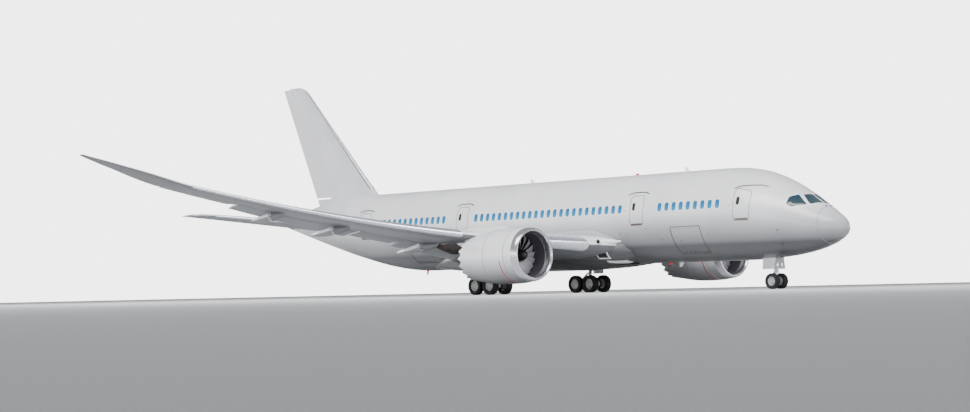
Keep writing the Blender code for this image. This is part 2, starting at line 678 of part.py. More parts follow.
def canoe_rings(surface, span, fractions_and_sizes):
    """Oval sections of a flap-track fairing: (fraction of chord, half width, depth below the skin)."""
    rings = []
    for fraction, half_width, depth in fractions_and_sizes:
        top = surface.point(span, min(fraction, 1.0), -1)
        run = (fraction - min(fraction, 1.0)) * surface.chord(span)
        centre = top + Vector((-run, 0, 0.06 - (depth + 0.06) / 2))
        ring = []
        for i in range(12):
            turn = math.tau * i / 12
            ring.append(centre + Vector((0, half_width * math.sin(turn), (depth + 0.06) / 2 * math.cos(turn))))
        rings.append(ring)
    return rings


def make_wing(side, word):
    surface = wing_surface(side)
    wing = loft(f"wing_{word}", wing_rings(surface), "grey_paint")
    for name, (start, end) in SLATS.items():
        rings = [surface.slat_ring(span) for span in spans_between(surface, start + SEAT, end - SEAT)]
        loft(f"slat_{name}_{word}", rings, "bare_metal")
    for name, (start, end, droop) in FLAPS.items():
        line = flap_hinge(surface, start, end)
        rings = [turn_about(surface.flap_ring(span), line, droop) for span in spans_between(surface, start, end)]
        flap = loft(f"flap_{name}_{word}", rings, "grey_paint", (line[0] + line[1]) / 2)
        for number, (span, size) in enumerate(CANOES[name]):
            cut = linear(surface.cut, span) + 0.02
            chord = surface.chord(span)
            before = [(cut - 1.75 * size / chord, 0.05, 0.06), (cut - 1.3 * size / chord, 0.15, 0.3),
                      (cut - 0.6 * size / chord, 0.19, 0.48), (cut - FAIRING_SPLIT[0] / chord, 0.2, 0.55)]
            after = [(cut + FAIRING_SPLIT[1] / chord, 0.2, 0.55), (cut + 0.8 * size / chord, 0.19, 0.5),
                     (cut + 1.7 * size / chord, 0.12, 0.34), (cut + 2.5 * size / chord, 0.03, 0.12)]
            fixed = loft(f"canoe_fixed_{name}_{number}_{word}", canoe_rings(surface, span, before))
            moving = [turn_about(ring, line, droop) for ring in canoe_rings(surface, span, after)]
            combine(wing, "UNION", fixed)
            combine(flap, "UNION", loft(f"canoe_moving_{name}_{number}_{word}", moving))
            flap_knuckle(wing, flap, line, span)
    for name, (start, end, droop) in AILERONS.items():
        line = control_hinge(surface, start, end)
        rings = [turn_about(surface.hinged_ring(span), line, droop) for span in spans_between(surface, start, end)]
        aileron = loft(f"{name}_{word}", rings, "grey_paint", (line[0] + line[1]) / 2)
        end_pins(aileron, wing, line, AILERON_PIN)
    return wing


def stab_surface(side):
    def place(span, station, lift):
        return at(station, side * span, STAB_ROOT_Z + span * math.tan(math.radians(STAB_DIHEDRAL)) + lift)
    places = sorted({*STAB_SPANS, *tail_opening(ELEVATOR)})
    return Surface(STAB_LEADING, STAB_TRAILING, STAB_THICKNESS, STAB_CUT, place, places)


def fin_surface():
    def place(span, station, lift):
        return at(station, lift, span)
    places = sorted({*FIN_SPANS, tail_opening(RUDDER)[0]})
    return Surface(FIN_LEADING, FIN_TRAILING, FIN_THICKNESS, FIN_CUT, place, places)


def tail_opening(span):
    """Where a rudder's or elevator's place starts and ends, with room for its ends to swing."""
    return span[0] - TAIL_SIDE_GAP, span[1] + TAIL_SIDE_GAP


def cut_rings(surface, span):
    """Sections with the tail drawn in along the place of a rudder or elevator."""
    low, high = tail_opening(span)
    rings = []
    for start, end in zip(surface.places, surface.places[1:]):
        rear = "wall" if low < (start + end) / 2 < high else None
        rings += [surface.ring(start, rear=rear), surface.ring(end, rear=rear)]
    return rings


def make_tail(hull_cutter):
    surface = fin_surface()
    fin = loft("fin", cut_rings(surface, RUDDER), "white_paint")
    combine(fin, "DIFFERENCE", hull_cutter)
    line = tuple(surface.point(span, surface.hinge_fraction(span), 0) for span in RUDDER)
    rudder = loft("rudder", [surface.hinged_ring(span) for span in spans_between(surface, *RUDDER)], "white_paint",
                  (line[0] + line[1]) / 2)
    end_pins(rudder, fin, line, TAIL_PIN, 1)
    for side, word in ((1, "left"), (-1, "right")):
        surface = stab_surface(side)
        stab = loft(f"stabiliser_{word}", cut_rings(surface, ELEVATOR), "white_paint")
        combine(stab, "DIFFERENCE", hull_cutter)
        line = control_hinge(surface, *ELEVATOR)
        elevator = loft(f"elevator_{word}", [surface.hinged_ring(span) for span in spans_between(surface, *ELEVATOR)],
                        "white_paint", (line[0] + line[1]) / 2)
        end_pins(elevator, stab, line, TAIL_PIN)


# Engines

def engine_frame(side):
    """The engine's centre at its inlet, its aft direction and its upward radius."""
    pitch = math.radians(ENGINE_PITCH)
    aft = Vector((-math.cos(pitch), 0, -math.sin(pitch)))
    up = Vector((-math.sin(pitch), 0, math.cos(pitch)))
    return at(INLET_STATION, side * ENGINE_Y, ENGINE_Z), aft, up


def make_engine(side, word, wing_cutter):
    centre, aft, up = engine_frame(side)
    lip = LIP_PROFILE + [(0.5 - SEAT, 1.42 + LIP_WALL), (0.5 - SEAT, 1.745 - LIP_WALL)]
    lip[0] = (0.5 - SEAT, 1.745)
    lip[len(LIP_PROFILE) - 1] = (0.5 - SEAT, 1.42)
    turned(f"inlet_lip_{word}", lip, ENGINE_SIDES, centre, aft, up, "bare_metal", closed=True)

    bm = bmesh.new()
    spin(bm, NACELLE_OUTER + NACELLE_INNER, ENGINE_SIDES, centre, aft, up, True)
    bmesh.ops.remove_doubles(bm, verts=bm.verts, dist=0.00005)
    across = aft.cross(up)
    for vert in bm.verts:
        out = vert.co - centre
        if out.dot(aft) > NACELLE_OUTER[-1][0] - 0.01:
            turn = math.atan2(out.dot(across), out.dot(up)) % math.tau
            if round(turn / math.tau * ENGINE_SIDES) % 2:
                vert.co += aft * CHEVRON_REACH
    nacelle = add_object(f"nacelle_{word}", bm, "white_paint", centre)

    hub = SPINNER_PROFILE + [(HUB_LENGTH + FAN_FACE, SHAFT_RADIUS + PIN_GAP * 2),
                             (HUB_LENGTH + FAN_FACE - SHAFT_REACH, SHAFT_RADIUS + PIN_GAP * 2),
                             (HUB_LENGTH + FAN_FACE - SHAFT_REACH, 0.0)]
    fan = turned(f"fan_{word}", hub, HUB_SIDES, centre, aft, up, "dark_metal")
    combine(fan, "UNION", fan_blades(word, centre, aft, up))

    nozzle = [(5.95, 0.6 + 0.06), (5.95, 0.0)]
    core_outer = CORE_PROFILE[:-1]
    mouth = CORE_PROFILE[-1]
    core_profile = [(1.85 - SHAFT_REACH + SEAT, 0.0), (1.85 - SHAFT_REACH + SEAT, SHAFT_RADIUS),
                    (CORE_PROFILE[0][0], SHAFT_RADIUS), *core_outer, mouth,
                    (mouth[0], mouth[1] - CORE_NOZZLE_WALL), nozzle[0], nozzle[1]]
    core = turned(f"engine_core_{word}", core_profile, HUB_SIDES, centre, aft, up, "engine_metal")
    plug = [(PLUG_PROFILE[0][0] + SEAT, 0.0), (PLUG_PROFILE[0][0] + SEAT, PLUG_PROFILE[0][1])] + PLUG_PROFILE[1:]
    turned(f"exhaust_plug_{word}", plug, HUB_SIDES, centre, aft, up, "dark_metal")

    pylon = make_pylon(f"pylon_{word}", side, "white_paint", 0.0)
    core_cutter = turned(f"core_cutter_{word}", [(1.5, 0.0), *[(a, r + SEAT) for a, r in CORE_PROFILE],
                                                 (CORE_PROFILE[-1][0] + 0.02, 0.0)],
                         HUB_SIDES, centre, aft, up)
    combine(pylon, "DIFFERENCE", wing_cutter, core_cutter)
    combine(nacelle, "DIFFERENCE", make_pylon(f"pylon_cutter_{word}", side, None, SEAT), wing_cutter)

    inner = turned(f"duct_bore_{word}", [(1.6, 0.0), (1.6, duct_radius(1.6) - SEAT), (3.0, 1.52 - SEAT),
                                         (4.4, 1.5 - SEAT), (4.4, 0.0)], ENGINE_SIDES, centre, aft, up)
    combine(core, "UNION", combine(guide_vanes(word, centre, aft, up), "INTERSECT", inner))


def duct_radius(along):
    return linear([(1.5, 1.46), (3.0, 1.52)], along)


def fan_blades(word, centre, aft, up):
    """Wide twisted blades, one mesh of separate closed solids."""
    bm = bmesh.new()
    across = aft.cross(up)
    for number in range(FAN_BLADES):
        turn = math.tau * (number + 0.5) / FAN_BLADES
        outward = up * math.cos(turn) + across * math.sin(turn)
        sideways = aft.cross(outward)
        rings = []
        for radius, pitch, chord, thick in BLADE_SECTIONS:
            lean = math.radians(pitch)
            along = aft * math.cos(lean) + sideways * math.sin(lean)
            normal = along.cross(outward)
            middle = centre + aft * (FAN_FACE + 0.22) + outward * radius
            rings.append([middle - along * chord / 2, middle + normal * thick / 2, middle + along * chord / 2,
                          middle - normal * thick / 2])
        skin(bm, rings)
    return add_object(f"fan_blades_{word}", bm)


def guide_vanes(word, centre, aft, up):
    """Struts from the core to the duct's wall, clear of the pylon above."""
    bm = bmesh.new()
    across = aft.cross(up)
    for number in range(VANES):
        turn = math.tau * (number + 0.5) / VANES
        outward = up * math.cos(turn) + across * math.sin(turn)
        sideways = aft.cross(outward)
        rings = []
        for radius in (0.4, 1.7):
            middle = centre + aft * VANE_STATION + outward * radius
            rings.append([middle - aft * 0.25, middle + sideways * 0.035, middle + aft * 0.25,
                          middle - sideways * 0.035])
        skin(bm, rings)
    return add_object(f"guide_vanes_{word}", bm)


def make_pylon(name, side, material, grow):
    """Lens-shaped level sections from the core up over the nacelle to the wing."""
    rings = []
    for z, front, back, half_width in PYLON:
        ring = []
        for i in range(12):
            turn = math.tau * i / 12
            share = (1 - math.cos(turn)) / 2
            station = front - grow + (back - front + 2 * grow) * share
            width = (half_width + grow) * math.copysign(abs(math.sin(turn)) ** 0.6, math.sin(turn))
            ring.append(at(station, side * ENGINE_Y + width, z))
        rings.append(ring)
    return loft(name, rings, material)


# Landing gear

def wheel_pair(name, station, y, tyre, twin):
    """Two wheels on one axle, turned as a whole, standing on a flat of the tread."""
    radius, width = tyre
    height = radius * math.cos(math.pi / WHEEL_SIDES)
    centre = at(station, y, height - CENTRELINE_HEIGHT)
    half = width / 2
    rim = radius * 0.48
    out = twin / 2
    outer = [(out + half * 0.3, 0.0), (out + half * 0.62, rim), (out + half * 0.98, radius * 0.75),
             (out + half * 0.6, radius)]
    inner = [(out - half * 0.6, radius), (out - half * 0.98, radius * 0.75), (out - half * 0.5, AXLE_RADIUS)]
    port = outer + inner
    profile = port + [(-a, r) for a, r in reversed(port)]
    half_step = math.pi / WHEEL_SIDES
    start = Vector((math.sin(half_step), 0, -math.cos(half_step)))
    return turned(name, profile, WHEEL_SIDES, centre, Vector((0, 1, 0)), start, "rubber"), centre


def axle_bore(name, centre, length):
    radius = (AXLE_RADIUS + PIN_GAP) / math.cos(math.pi / WHEEL_SIDES)
    reach = Vector((0, length / 2, 0))
    return rod(name, centre - reach, centre + reach, radius, WHEEL_SIDES)


def make_nose_gear(hull_cutter):
    wheels, axle = wheel_pair("nose_wheels", NOSE_GEAR_STATION, 0, NOSE_TYRE, NOSE_TRACK)
    top = at(NOSE_GEAR_STATION, 0, NOSE_WELL[3] - SEAT)
    bottom = at(NOSE_GEAR_STATION, 0, NOSE_LEG_BOTTOM)
    length = (top - bottom).length
    up, forward = Vector((0, 0, 1)), Vector((1, 0, 0))
    bore_radius = (NOSE_STEM_RADIUS + PIN_GAP) / math.cos(math.pi / NOSE_LEG_SIDES)
    leg = turned("nose_leg", [(length, 0.0), (length, NOSE_LEG_RADIUS), (0, NOSE_LEG_RADIUS),
                              (0, bore_radius), (NOSE_BORE, bore_radius), (NOSE_BORE, 0.0)],
                 NOSE_LEG_SIDES, bottom, up, forward, "gear_paint")
    brace_top = at(NOSE_WELL[0] + 0.2, 0, NOSE_WELL[3] + 0.2)
    brace = rod("nose_brace", bottom + up * NOSE_BRACE_FOOT, brace_top, STAY_RADIUS, STAY_SIDES)
    well_roof = block("nose_roof", at(NOSE_GEAR_STATION, 0, NOSE_WELL[3] + 0.5 - SEAT), (3, 2, 1))
    combine(combine(leg, "UNION", brace), "DIFFERENCE", well_roof)
    stem_bottom = axle - bottom
    stem_top = NOSE_BORE - PIN_GAP
    collar_top, collar_foot = -RUNNING, -NOSE_COLLAR[1]
    steering = turned("nose_steering", [(stem_top, 0.0), (stem_top, NOSE_STEM_RADIUS),
                                        (collar_top, NOSE_STEM_RADIUS), (collar_top, NOSE_COLLAR[0]),
                                        (collar_foot, NOSE_COLLAR[0]), (collar_foot - 0.04, NOSE_PISTON_RADIUS),
                                        (stem_bottom.z, NOSE_PISTON_RADIUS), (stem_bottom.z, 0.0)],
                      NOSE_LEG_SIDES, bottom, up, forward, "gear_paint")
    reach = Vector((0, NOSE_HUB, 0))
    hub = rod("nose_hub", axle - reach, axle + reach, NOSE_HUB, 16)
    combine(combine(steering, "UNION", hub), "DIFFERENCE", axle_bore("nose_bore", axle, 1.0))

    for side, word in ((1, "left"), (-1, "right")):
        start, end, half_width, ceiling = NOSE_WELL
        lean = Matrix.Rotation(math.radians(side * NOSE_DOOR_LEAN), 4, "X")
        door = block(f"nose_door_{word}", at(NOSE_DOOR[0], side * (half_width + 0.05), NOSE_DOOR[1]),
                     NOSE_DOOR_SIZE, 0.012, "white_paint", lean)
        combine(door, "DIFFERENCE", hull_cutter)


def make_main_gear(side, word, wing_cutter, fairing_cutter):
    half = AXLE_SPACING / 2
    axle_z = MAIN_TYRE[0] * math.cos(math.pi / WHEEL_SIDES)
    middle = at(MAIN_GEAR_STATION, side * MAIN_Y, axle_z - CENTRELINE_HEIGHT)
    beam = block(f"main_bogie_{word}", middle, (AXLE_SPACING + 0.36, BEAM_HALF * 2, BEAM_HALF * 2), 0.06,
                 "gear_paint")
    for end, name in ((1, "front"), (-1, "rear")):
        wheel_pair(f"main_wheels_{name}_{word}", MAIN_GEAR_STATION - end * half, side * MAIN_Y, MAIN_TYRE, MAIN_TWIN)
        axle = middle + Vector((end * half, 0, 0))
        combine(beam, "DIFFERENCE", axle_bore(f"bogie_bore_{name}_{word}", axle, 1.0))

    foot = middle + Vector((0, 0, BEAM_HALF - 0.05))
    beam_cutter = block(f"beam_cutter_{word}", middle,
                        (AXLE_SPACING + 0.36, (BEAM_HALF + SEAT) * 2, (BEAM_HALF + SEAT) * 2))
    head = at(MAIN_GEAR_STATION - MAIN_LEG_LEAN, side * MAIN_Y, MAIN_LEG_TOP)
    knee = foot.lerp(head, MAIN_KNEE)
    leg = rod(f"main_leg_{word}", foot, head, MAIN_PISTON_RADIUS, 16, "gear_paint")
    sleeve = rod(f"leg_sleeve_{word}", knee, head, MAIN_LEG_RADIUS, 16)
    stay_foot = knee + Vector((0, 0, 0.2))
    side_head = at(MAIN_GEAR_STATION - 0.2, side * SIDE_STAY_Y, -2.3)
    drag_head = at(MAIN_GEAR_STATION - DRAG_STAY_AHEAD, side * MAIN_Y, -2.0)
    side_stay = rod(f"side_stay_{word}", stay_foot, side_head, STAY_RADIUS, STAY_SIDES)
    drag_stay = rod(f"drag_stay_{word}", stay_foot, drag_head, STAY_RADIUS, STAY_SIDES)
    door_y = side * (MAIN_Y + LEG_DOOR_OUT)
    links = []
    for number, z in enumerate(DOOR_LINK_HEIGHTS):
        start = at(MAIN_GEAR_STATION - DOOR_LINK_AHEAD, side * MAIN_Y, z)
        end = at(MAIN_GEAR_STATION - DOOR_LINK_AHEAD, door_y - side * (LEG_DOOR_THICKNESS / 2 + SEAT), z)
        links.append(rod(f"door_link_{number}_{word}", start, end, DOOR_LINK_RADIUS, STAY_SIDES))
    combine(leg, "UNION", sleeve, side_stay, drag_stay, *links)
    combine(leg, "DIFFERENCE", wing_cutter, fairing_cutter, beam_cutter)
    door = block(f"main_leg_door_{word}", at(MAIN_GEAR_STATION - LEG_DOOR_AHEAD, door_y, LEG_DOOR_Z),
                 (LEG_DOOR_SIZE[0], LEG_DOOR_THICKNESS, LEG_DOOR_SIZE[1]), 0.015, "white_paint")
    combine(door, "DIFFERENCE", wing_cutter)


def main():
    make_fuselage()
    hull_cutter = hull_piece("hull_cutter", 0, HULL_END, grow=SEAT)
    fairing = fairing_shape("belly_fairing", "white_paint")
    combine(fairing, "DIFFERENCE", hull_cutter)
    fairing_cutter = fairing_shape("fairing_cutter", grow=SEAT)
    make_tail(hull_cutter)
    for side, word in ((1, "left"), (-1, "right")):
        wing = make_wing(side, word)
        combine(wing, "DIFFERENCE", hull_cutter, fairing_cutter)
        wing_cutter = loft(f"wing_cutter_{word}", wing_rings(wing_surface(side), SEAT))
        make_engine(side, word, wing_cutter)
        make_main_gear(side, word, wing_cutter, fairing_cutter)
    make_nose_gear(hull_cutter)


main()
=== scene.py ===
# %% [markdown]
# # An airliner on its wheels, dressed for a picture
#
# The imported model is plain: a 32-sided fuselage, coarse wings, engines that are simple rings. It says where
# everything is and how it moves. This script lays the real surfaces over it: round skins, windows, doors,
# fan blades, tyres and paint. Each new piece rides on the body that carries it, so it moves as the model does.
#
# The aircraft is a 1:2 model. Sizes below are the full-size aircraft's in metres, because those are the
# numbers that people know. One function turns a full-size place into the model's own metres.

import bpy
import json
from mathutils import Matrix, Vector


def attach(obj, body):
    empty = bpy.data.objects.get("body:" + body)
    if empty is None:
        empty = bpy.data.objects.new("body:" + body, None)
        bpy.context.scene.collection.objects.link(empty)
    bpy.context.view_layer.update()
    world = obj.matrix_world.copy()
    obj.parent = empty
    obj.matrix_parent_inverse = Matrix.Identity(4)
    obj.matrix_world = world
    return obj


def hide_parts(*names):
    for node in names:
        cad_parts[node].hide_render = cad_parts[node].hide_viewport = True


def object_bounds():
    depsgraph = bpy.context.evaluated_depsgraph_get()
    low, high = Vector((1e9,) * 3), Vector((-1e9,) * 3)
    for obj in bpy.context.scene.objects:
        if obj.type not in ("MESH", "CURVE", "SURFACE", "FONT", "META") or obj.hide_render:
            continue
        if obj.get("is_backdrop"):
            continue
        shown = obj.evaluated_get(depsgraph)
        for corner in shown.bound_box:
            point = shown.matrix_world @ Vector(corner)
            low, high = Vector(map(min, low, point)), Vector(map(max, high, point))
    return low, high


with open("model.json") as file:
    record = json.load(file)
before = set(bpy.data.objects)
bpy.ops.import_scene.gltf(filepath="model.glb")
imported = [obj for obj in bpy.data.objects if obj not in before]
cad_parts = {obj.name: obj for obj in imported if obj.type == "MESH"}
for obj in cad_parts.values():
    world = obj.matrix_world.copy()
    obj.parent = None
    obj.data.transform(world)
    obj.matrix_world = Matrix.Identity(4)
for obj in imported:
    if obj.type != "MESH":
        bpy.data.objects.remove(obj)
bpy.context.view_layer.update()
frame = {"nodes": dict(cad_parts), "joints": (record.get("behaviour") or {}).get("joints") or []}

# %% Places on the full-size aircraft
import json
import math

import bpy
from mathutils import Matrix, Vector

MODEL = 0.5
MIDDLE_STATION = 28.325
CENTRELINE = 4.85
SIDES = {"left": 1, "right": -1}


def place(station, y, z):
    """Metres aft of the nose, to port and above the fuselage's centreline, as a point of the model."""
    return Vector((MIDDLE_STATION - station, y, CENTRELINE + z)) * MODEL


JOINTS = {joint["name"]: joint for joint in frame["joints"]}
print(len(JOINTS), "joints, nose at", place(0, 0, -1.2)[:])

# %% [markdown]
# ## Camera
#
# The photograph looks up from below at an aircraft in flight. Ours stands on the floor, so the camera goes as
# low as a camera can, at floor level, on the same bearing and at the same distance, with the same long lens.

# %% Camera at floor level
CAMERA_PLACE = (53.24, -51.52, 0.1)
BEARING = math.radians(47.05)
LOOK_UP = math.radians(2.36)
ROLL = math.radians(-1.22)
LENS = 77.4
FARTHEST_SEEN = 2000

view_back = Vector((math.sin(BEARING) * math.cos(LOOK_UP), -math.cos(BEARING) * math.cos(LOOK_UP),
                    -math.sin(LOOK_UP)))
camera = bpy.data.objects.new("camera", bpy.data.cameras.new("camera"))
bpy.context.scene.collection.objects.link(camera)
camera.location = CAMERA_PLACE
camera.rotation_mode = "QUATERNION"
camera.rotation_quaternion = ((-view_back).to_track_quat("-Z", "Y").to_matrix()
                              @ Matrix.Rotation(ROLL, 3, "Z")).to_quaternion()
camera.data.lens = LENS
camera.data.clip_end = FARTHEST_SEEN
bpy.context.scene.camera = camera
print("camera looks up by", round(math.degrees(LOOK_UP), 1), "degrees")

# %% [markdown]
# ## Light
#
# A studio for something this big is a white room. Its walls are bright a little past the horizon, where they are
# the picture's plain backdrop, and dim above. One wide light high up gives the long soft highlight along the top
# of the fuselage and leaves the belly in shade, and a small one ahead models the nose.

# %% Room light
def linear_colour(code):
    """An sRGB hex colour as the linear red, green, blue and alpha that shaders use."""
    parts = [int(code[i:i + 2], 16) / 255 for i in (1, 3, 5)]
    return tuple(c / 12.92 if c <= 0.04045 else ((c + 0.055) / 1.055) ** 2.4 for c in parts) + (1.0,)


def node(tree, kind, inputs=None, **settings):
    """Adds a node with its settings, and its inputs as values or as links from other nodes' outputs."""
    made = tree.nodes.new(kind)
    for key, value in settings.items():
        setattr(made, key, value)
    for key, value in (inputs or {}).items():
        if isinstance(value, bpy.types.NodeSocket):
            tree.links.new(value, made.inputs[key])
        else:
            made.inputs[key].default_value = value
    return made


def ramp(tree, factor, stops):
    """A colour ramp: stops are (position, hex colour)."""
    made = node(tree, "ShaderNodeValToRGB", {"Fac": factor})
    elements = made.color_ramp.elements
    while len(elements) < len(stops):
        elements.new(0.5)
    for element, (position, code) in zip(elements, stops):
        element.position = position
        element.color = linear_colour(code)
    return made.outputs["Color"]


ROOM_STOPS = [(0.0, "#FFFFFF"), (0.285, "#FFFFFF"), (0.31, "#58595B"), (1.0, "#4E4F51")]
ROOM_BRIGHTNESS = 4.5

world = bpy.data.worlds.new("white_room")
bpy.context.scene.world = world
world.use_nodes = True
tree = world.node_tree
tree.nodes.clear()
direction = node(tree, "ShaderNodeTexCoord").outputs["Generated"]
height = node(tree, "ShaderNodeSeparateXYZ", {"Vector": direction}).outputs["Z"]
rise = node(tree, "ShaderNodeMapRange", {"Value": height, "From Min": -0.2, "From Max": 1.0}).outputs["Result"]
room = ramp(tree, rise, ROOM_STOPS)
background = node(tree, "ShaderNodeBackground", {"Color": room, "Strength": ROOM_BRIGHTNESS})
node(tree, "ShaderNodeOutputWorld", {"Surface": background.outputs["Background"]})


def soft_light(name, location, target, size, power):
    """A rectangular area light at one place that faces another."""
    lamp = bpy.data.lights.new(name, "AREA")
    lamp.shape = "RECTANGLE"
    lamp.size, lamp.size_y = size
    lamp.energy = power
    made = bpy.data.objects.new(name, lamp)
    bpy.context.scene.collection.objects.link(made)
    made.location = location
    made.rotation_mode = "QUATERNION"
    made.rotation_quaternion = (Vector(target) - Vector(location)).to_track_quat("-Z", "Y")


soft_light("ceiling_light", (12, -24, 36), (0, 0, 2), (50, 18), 30000)
soft_light("nose_light", (46, -10, 16), (6, 0, 3), (16, 12), 1500)

# %% [markdown]
# ## Floor
#
# One wide pale sheet, big enough that its edge is out of sight. It is stage, not aircraft.

# %% Floor
FLOOR_SIZE = 900


def only(piece):
    """Selects one object and nothing else, and makes it active."""
    bpy.ops.object.select_all(action="DESELECT")
    bpy.context.view_layer.objects.active = piece
    piece.select_set(True)


def primitive(name, add, **settings):
    """One of Blender's primitives, with its place, turn and size taken up by its mesh."""
    bpy.ops.object.select_all(action="DESELECT")
    add(**settings)
    bpy.ops.object.transform_apply(location=True, rotation=True, scale=True)
    bpy.context.object.name = name
    return bpy.context.object


def principled(name, colour, **inputs):
    """A new material with a principled shader; its values are set on the shader's own sockets."""
    material = bpy.data.materials.new(name)
    material.use_nodes = True
    shader = material.node_tree.nodes["Principled BSDF"]
    shader.inputs["Base Color"].default_value = linear_colour(colour)
    for key, value in inputs.items():
        shader.inputs[key.replace("_", " ")].default_value = value
    return material, material.node_tree, shader


floor = primitive("floor", bpy.ops.mesh.primitive_plane_add, size=FLOOR_SIZE)
floor_paint, tree, shader = principled("pale_floor_paint", "#D0D1D3", Roughness=0.9)
floor.data.materials.append(floor_paint)
floor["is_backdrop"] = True
print("floor", floor.dimensions[:2])

# %% [markdown]
# ## Paint, metal, rubber and glass
#
# An airliner's white is a polyurethane topcoat: a hard, glossy layer sprayed over primer. It is never quite one
# white, so each paint here mixes two near shades over patches a metre or so wide, and a fine ripple in the
# surface, called orange peel, breaks up the reflections. Real orange peel is about 2 mm across; it is drawn
# much coarser, because at this distance a pixel is 36 mm wide.

# %% One function for sprayed paint
def object_place(tree):
    """Where a point is on the piece, so that a pattern moves with it."""
    return node(tree, "ShaderNodeTexCoord").outputs["Object"]


def height_share(tree, low_z, high_z):
    """How far up a point is between two heights about the centreline, from 0 to 1."""
    up = node(tree, "ShaderNodeSeparateXYZ", {"Vector": object_place(tree)}).outputs["Z"]
    return node(tree, "ShaderNodeMapRange", {"Value": up, "From Min": place(0, 0, low_z).z,
                                             "From Max": place(0, 0, high_z).z}).outputs["Result"]


def sprayed(name, light, dark, roughness=0.3, coat=0.3, patch_mm=1400, peel_mm=60):
    """Sprayed paint: two near shades in patches, a ripple and a clear coat."""
    material, tree, shader = principled(name, light, Roughness=roughness, Coat_Weight=coat, Coat_Roughness=0.08,
                                        IOR=1.5)
    where = object_place(tree)
    patches = node(tree, "ShaderNodeTexNoise", {"Vector": where, "Scale": 1000 / patch_mm, "Detail": 3.0})
    shade = ramp(tree, patches.outputs["Fac"], [(0.35, dark), (0.65, light)])
    tree.links.new(shade, shader.inputs["Base Color"])
    ripple = node(tree, "ShaderNodeTexNoise", {"Vector": where, "Scale": 1000 / peel_mm, "Detail": 1.0})
    bump = node(tree, "ShaderNodeBump", {"Height": ripple.outputs["Fac"], "Strength": 0.02, "Distance": 0.002})
    tree.links.new(bump.outputs["Normal"], shader.inputs["Normal"])
    return material


def shaded_below(name, low_z, high_z, stops):
    """White paint with painted shade: it turns grey lower down, following height, by stops of (share, hex colour)."""
    material = sprayed(name, "#E6E7E9", "#DDDEE1")
    tree = material.node_tree
    base = tree.nodes["Principled BSDF"].inputs["Base Color"]
    mix = node(tree, "ShaderNodeMix", {"Factor": 1.0}, data_type="RGBA", blend_type="MULTIPLY")
    tree.links.new(base.links[0].from_socket, mix.inputs[6])
    tree.links.new(ramp(tree, height_share(tree, low_z, high_z), stops), mix.inputs[7])
    tree.links.new(mix.outputs[2], base)
    return material


white_topcoat = sprayed("white_polyurethane_topcoat", "#E4E5E7", "#DDDEE1")
# The fin's paint is a darker grey than the other white: painted shade.
fin_painted_shade_topcoat = sprayed("fin_topcoat_weathered", "#CBCCCF", "#C3C4C8")
white_trim = sprayed("window_surround_white", "#F4F5F6", "#EEEFF1", roughness=0.25)
# The wing's grey underneath is grey paint darkened further as painted shade.
wing_grey_and_painted_shade = sprayed("grey_polyurethane_topcoat", "#6A6C70", "#626468", roughness=0.42, coat=0.1)
# Flaps, ailerons, stabilisers and elevators take this grey below: grey paint darkened as painted shade.
flap_grey_and_painted_shade = sprayed("flap_grey_topcoat", "#85888D", "#7C7F84", roughness=0.42, coat=0.1)
gear_enamel = sprayed("gear_leg_enamel", "#C4C6C9", "#B6B8BB", roughness=0.35, patch_mm=250, peel_mm=12)
# The grey that grows towards the belly of the fuselage, the fairing and the cargo doors is painted shade.
belly_painted_shade = shaded_below("white_over_grey_topcoat", -3.0, 0.6,
                           [(0.0, "#505153"), (0.29, "#58595B"), (0.37, "#97989A"), (0.62, "#C9CACC"),
                            (0.95, "#FFFFFF")])
# The cowls turn grey underneath: painted shade over the white topcoat.
cowl_painted_shade = shaded_below("cowl_white_over_grey_topcoat", -4.1, -2.1,
                          [(0.0, "#606163"), (0.22, "#8B8C8E"), (0.5, "#D2D3D5"), (0.8, "#FFFFFF")])
spinner_black = sprayed("spinner_black_enamel", "#0C0C0E", "#121214", roughness=0.4, coat=0.1)
stripe_red = sprayed("warning_line_red_enamel", "#B01820", "#A4141C", roughness=0.5, coat=0.0)
print(len(bpy.data.materials), "materials with the paints")

# %% [markdown]
# Bare aluminium on the leading edges is polished by hand, so it keeps very fine marks along the polishing
# direction. Titanium and nickel alloy round the exhaust go brown and blue with heat: the tint changes slowly
# over the part and hides most of the shine.

# %% Metals
def worn_metal(name, light, dark, roughness, grain_mm=(900, 30, 30), metallic=1.0):
    """Metal with streaks: noise stretched along the aircraft, in colour and in roughness."""
    material, tree, shader = principled(name, light, Roughness=roughness, Metallic=metallic)
    stretched = node(tree, "ShaderNodeMapping", {"Vector": object_place(tree),
                                                 "Scale": [1000 / mm for mm in grain_mm]})
    grain = node(tree, "ShaderNodeTexNoise", {"Vector": stretched.outputs["Vector"], "Scale": 1.0, "Detail": 4.0})
    shade = ramp(tree, grain.outputs["Fac"], [(0.3, dark), (0.7, light)])
    tree.links.new(shade, shader.inputs["Base Color"])
    rough = node(tree, "ShaderNodeMapRange", {"Value": grain.outputs["Fac"], "To Min": roughness * 0.8,
                                              "To Max": roughness * 1.25})
    tree.links.new(rough.outputs["Result"], shader.inputs["Roughness"])
    return material


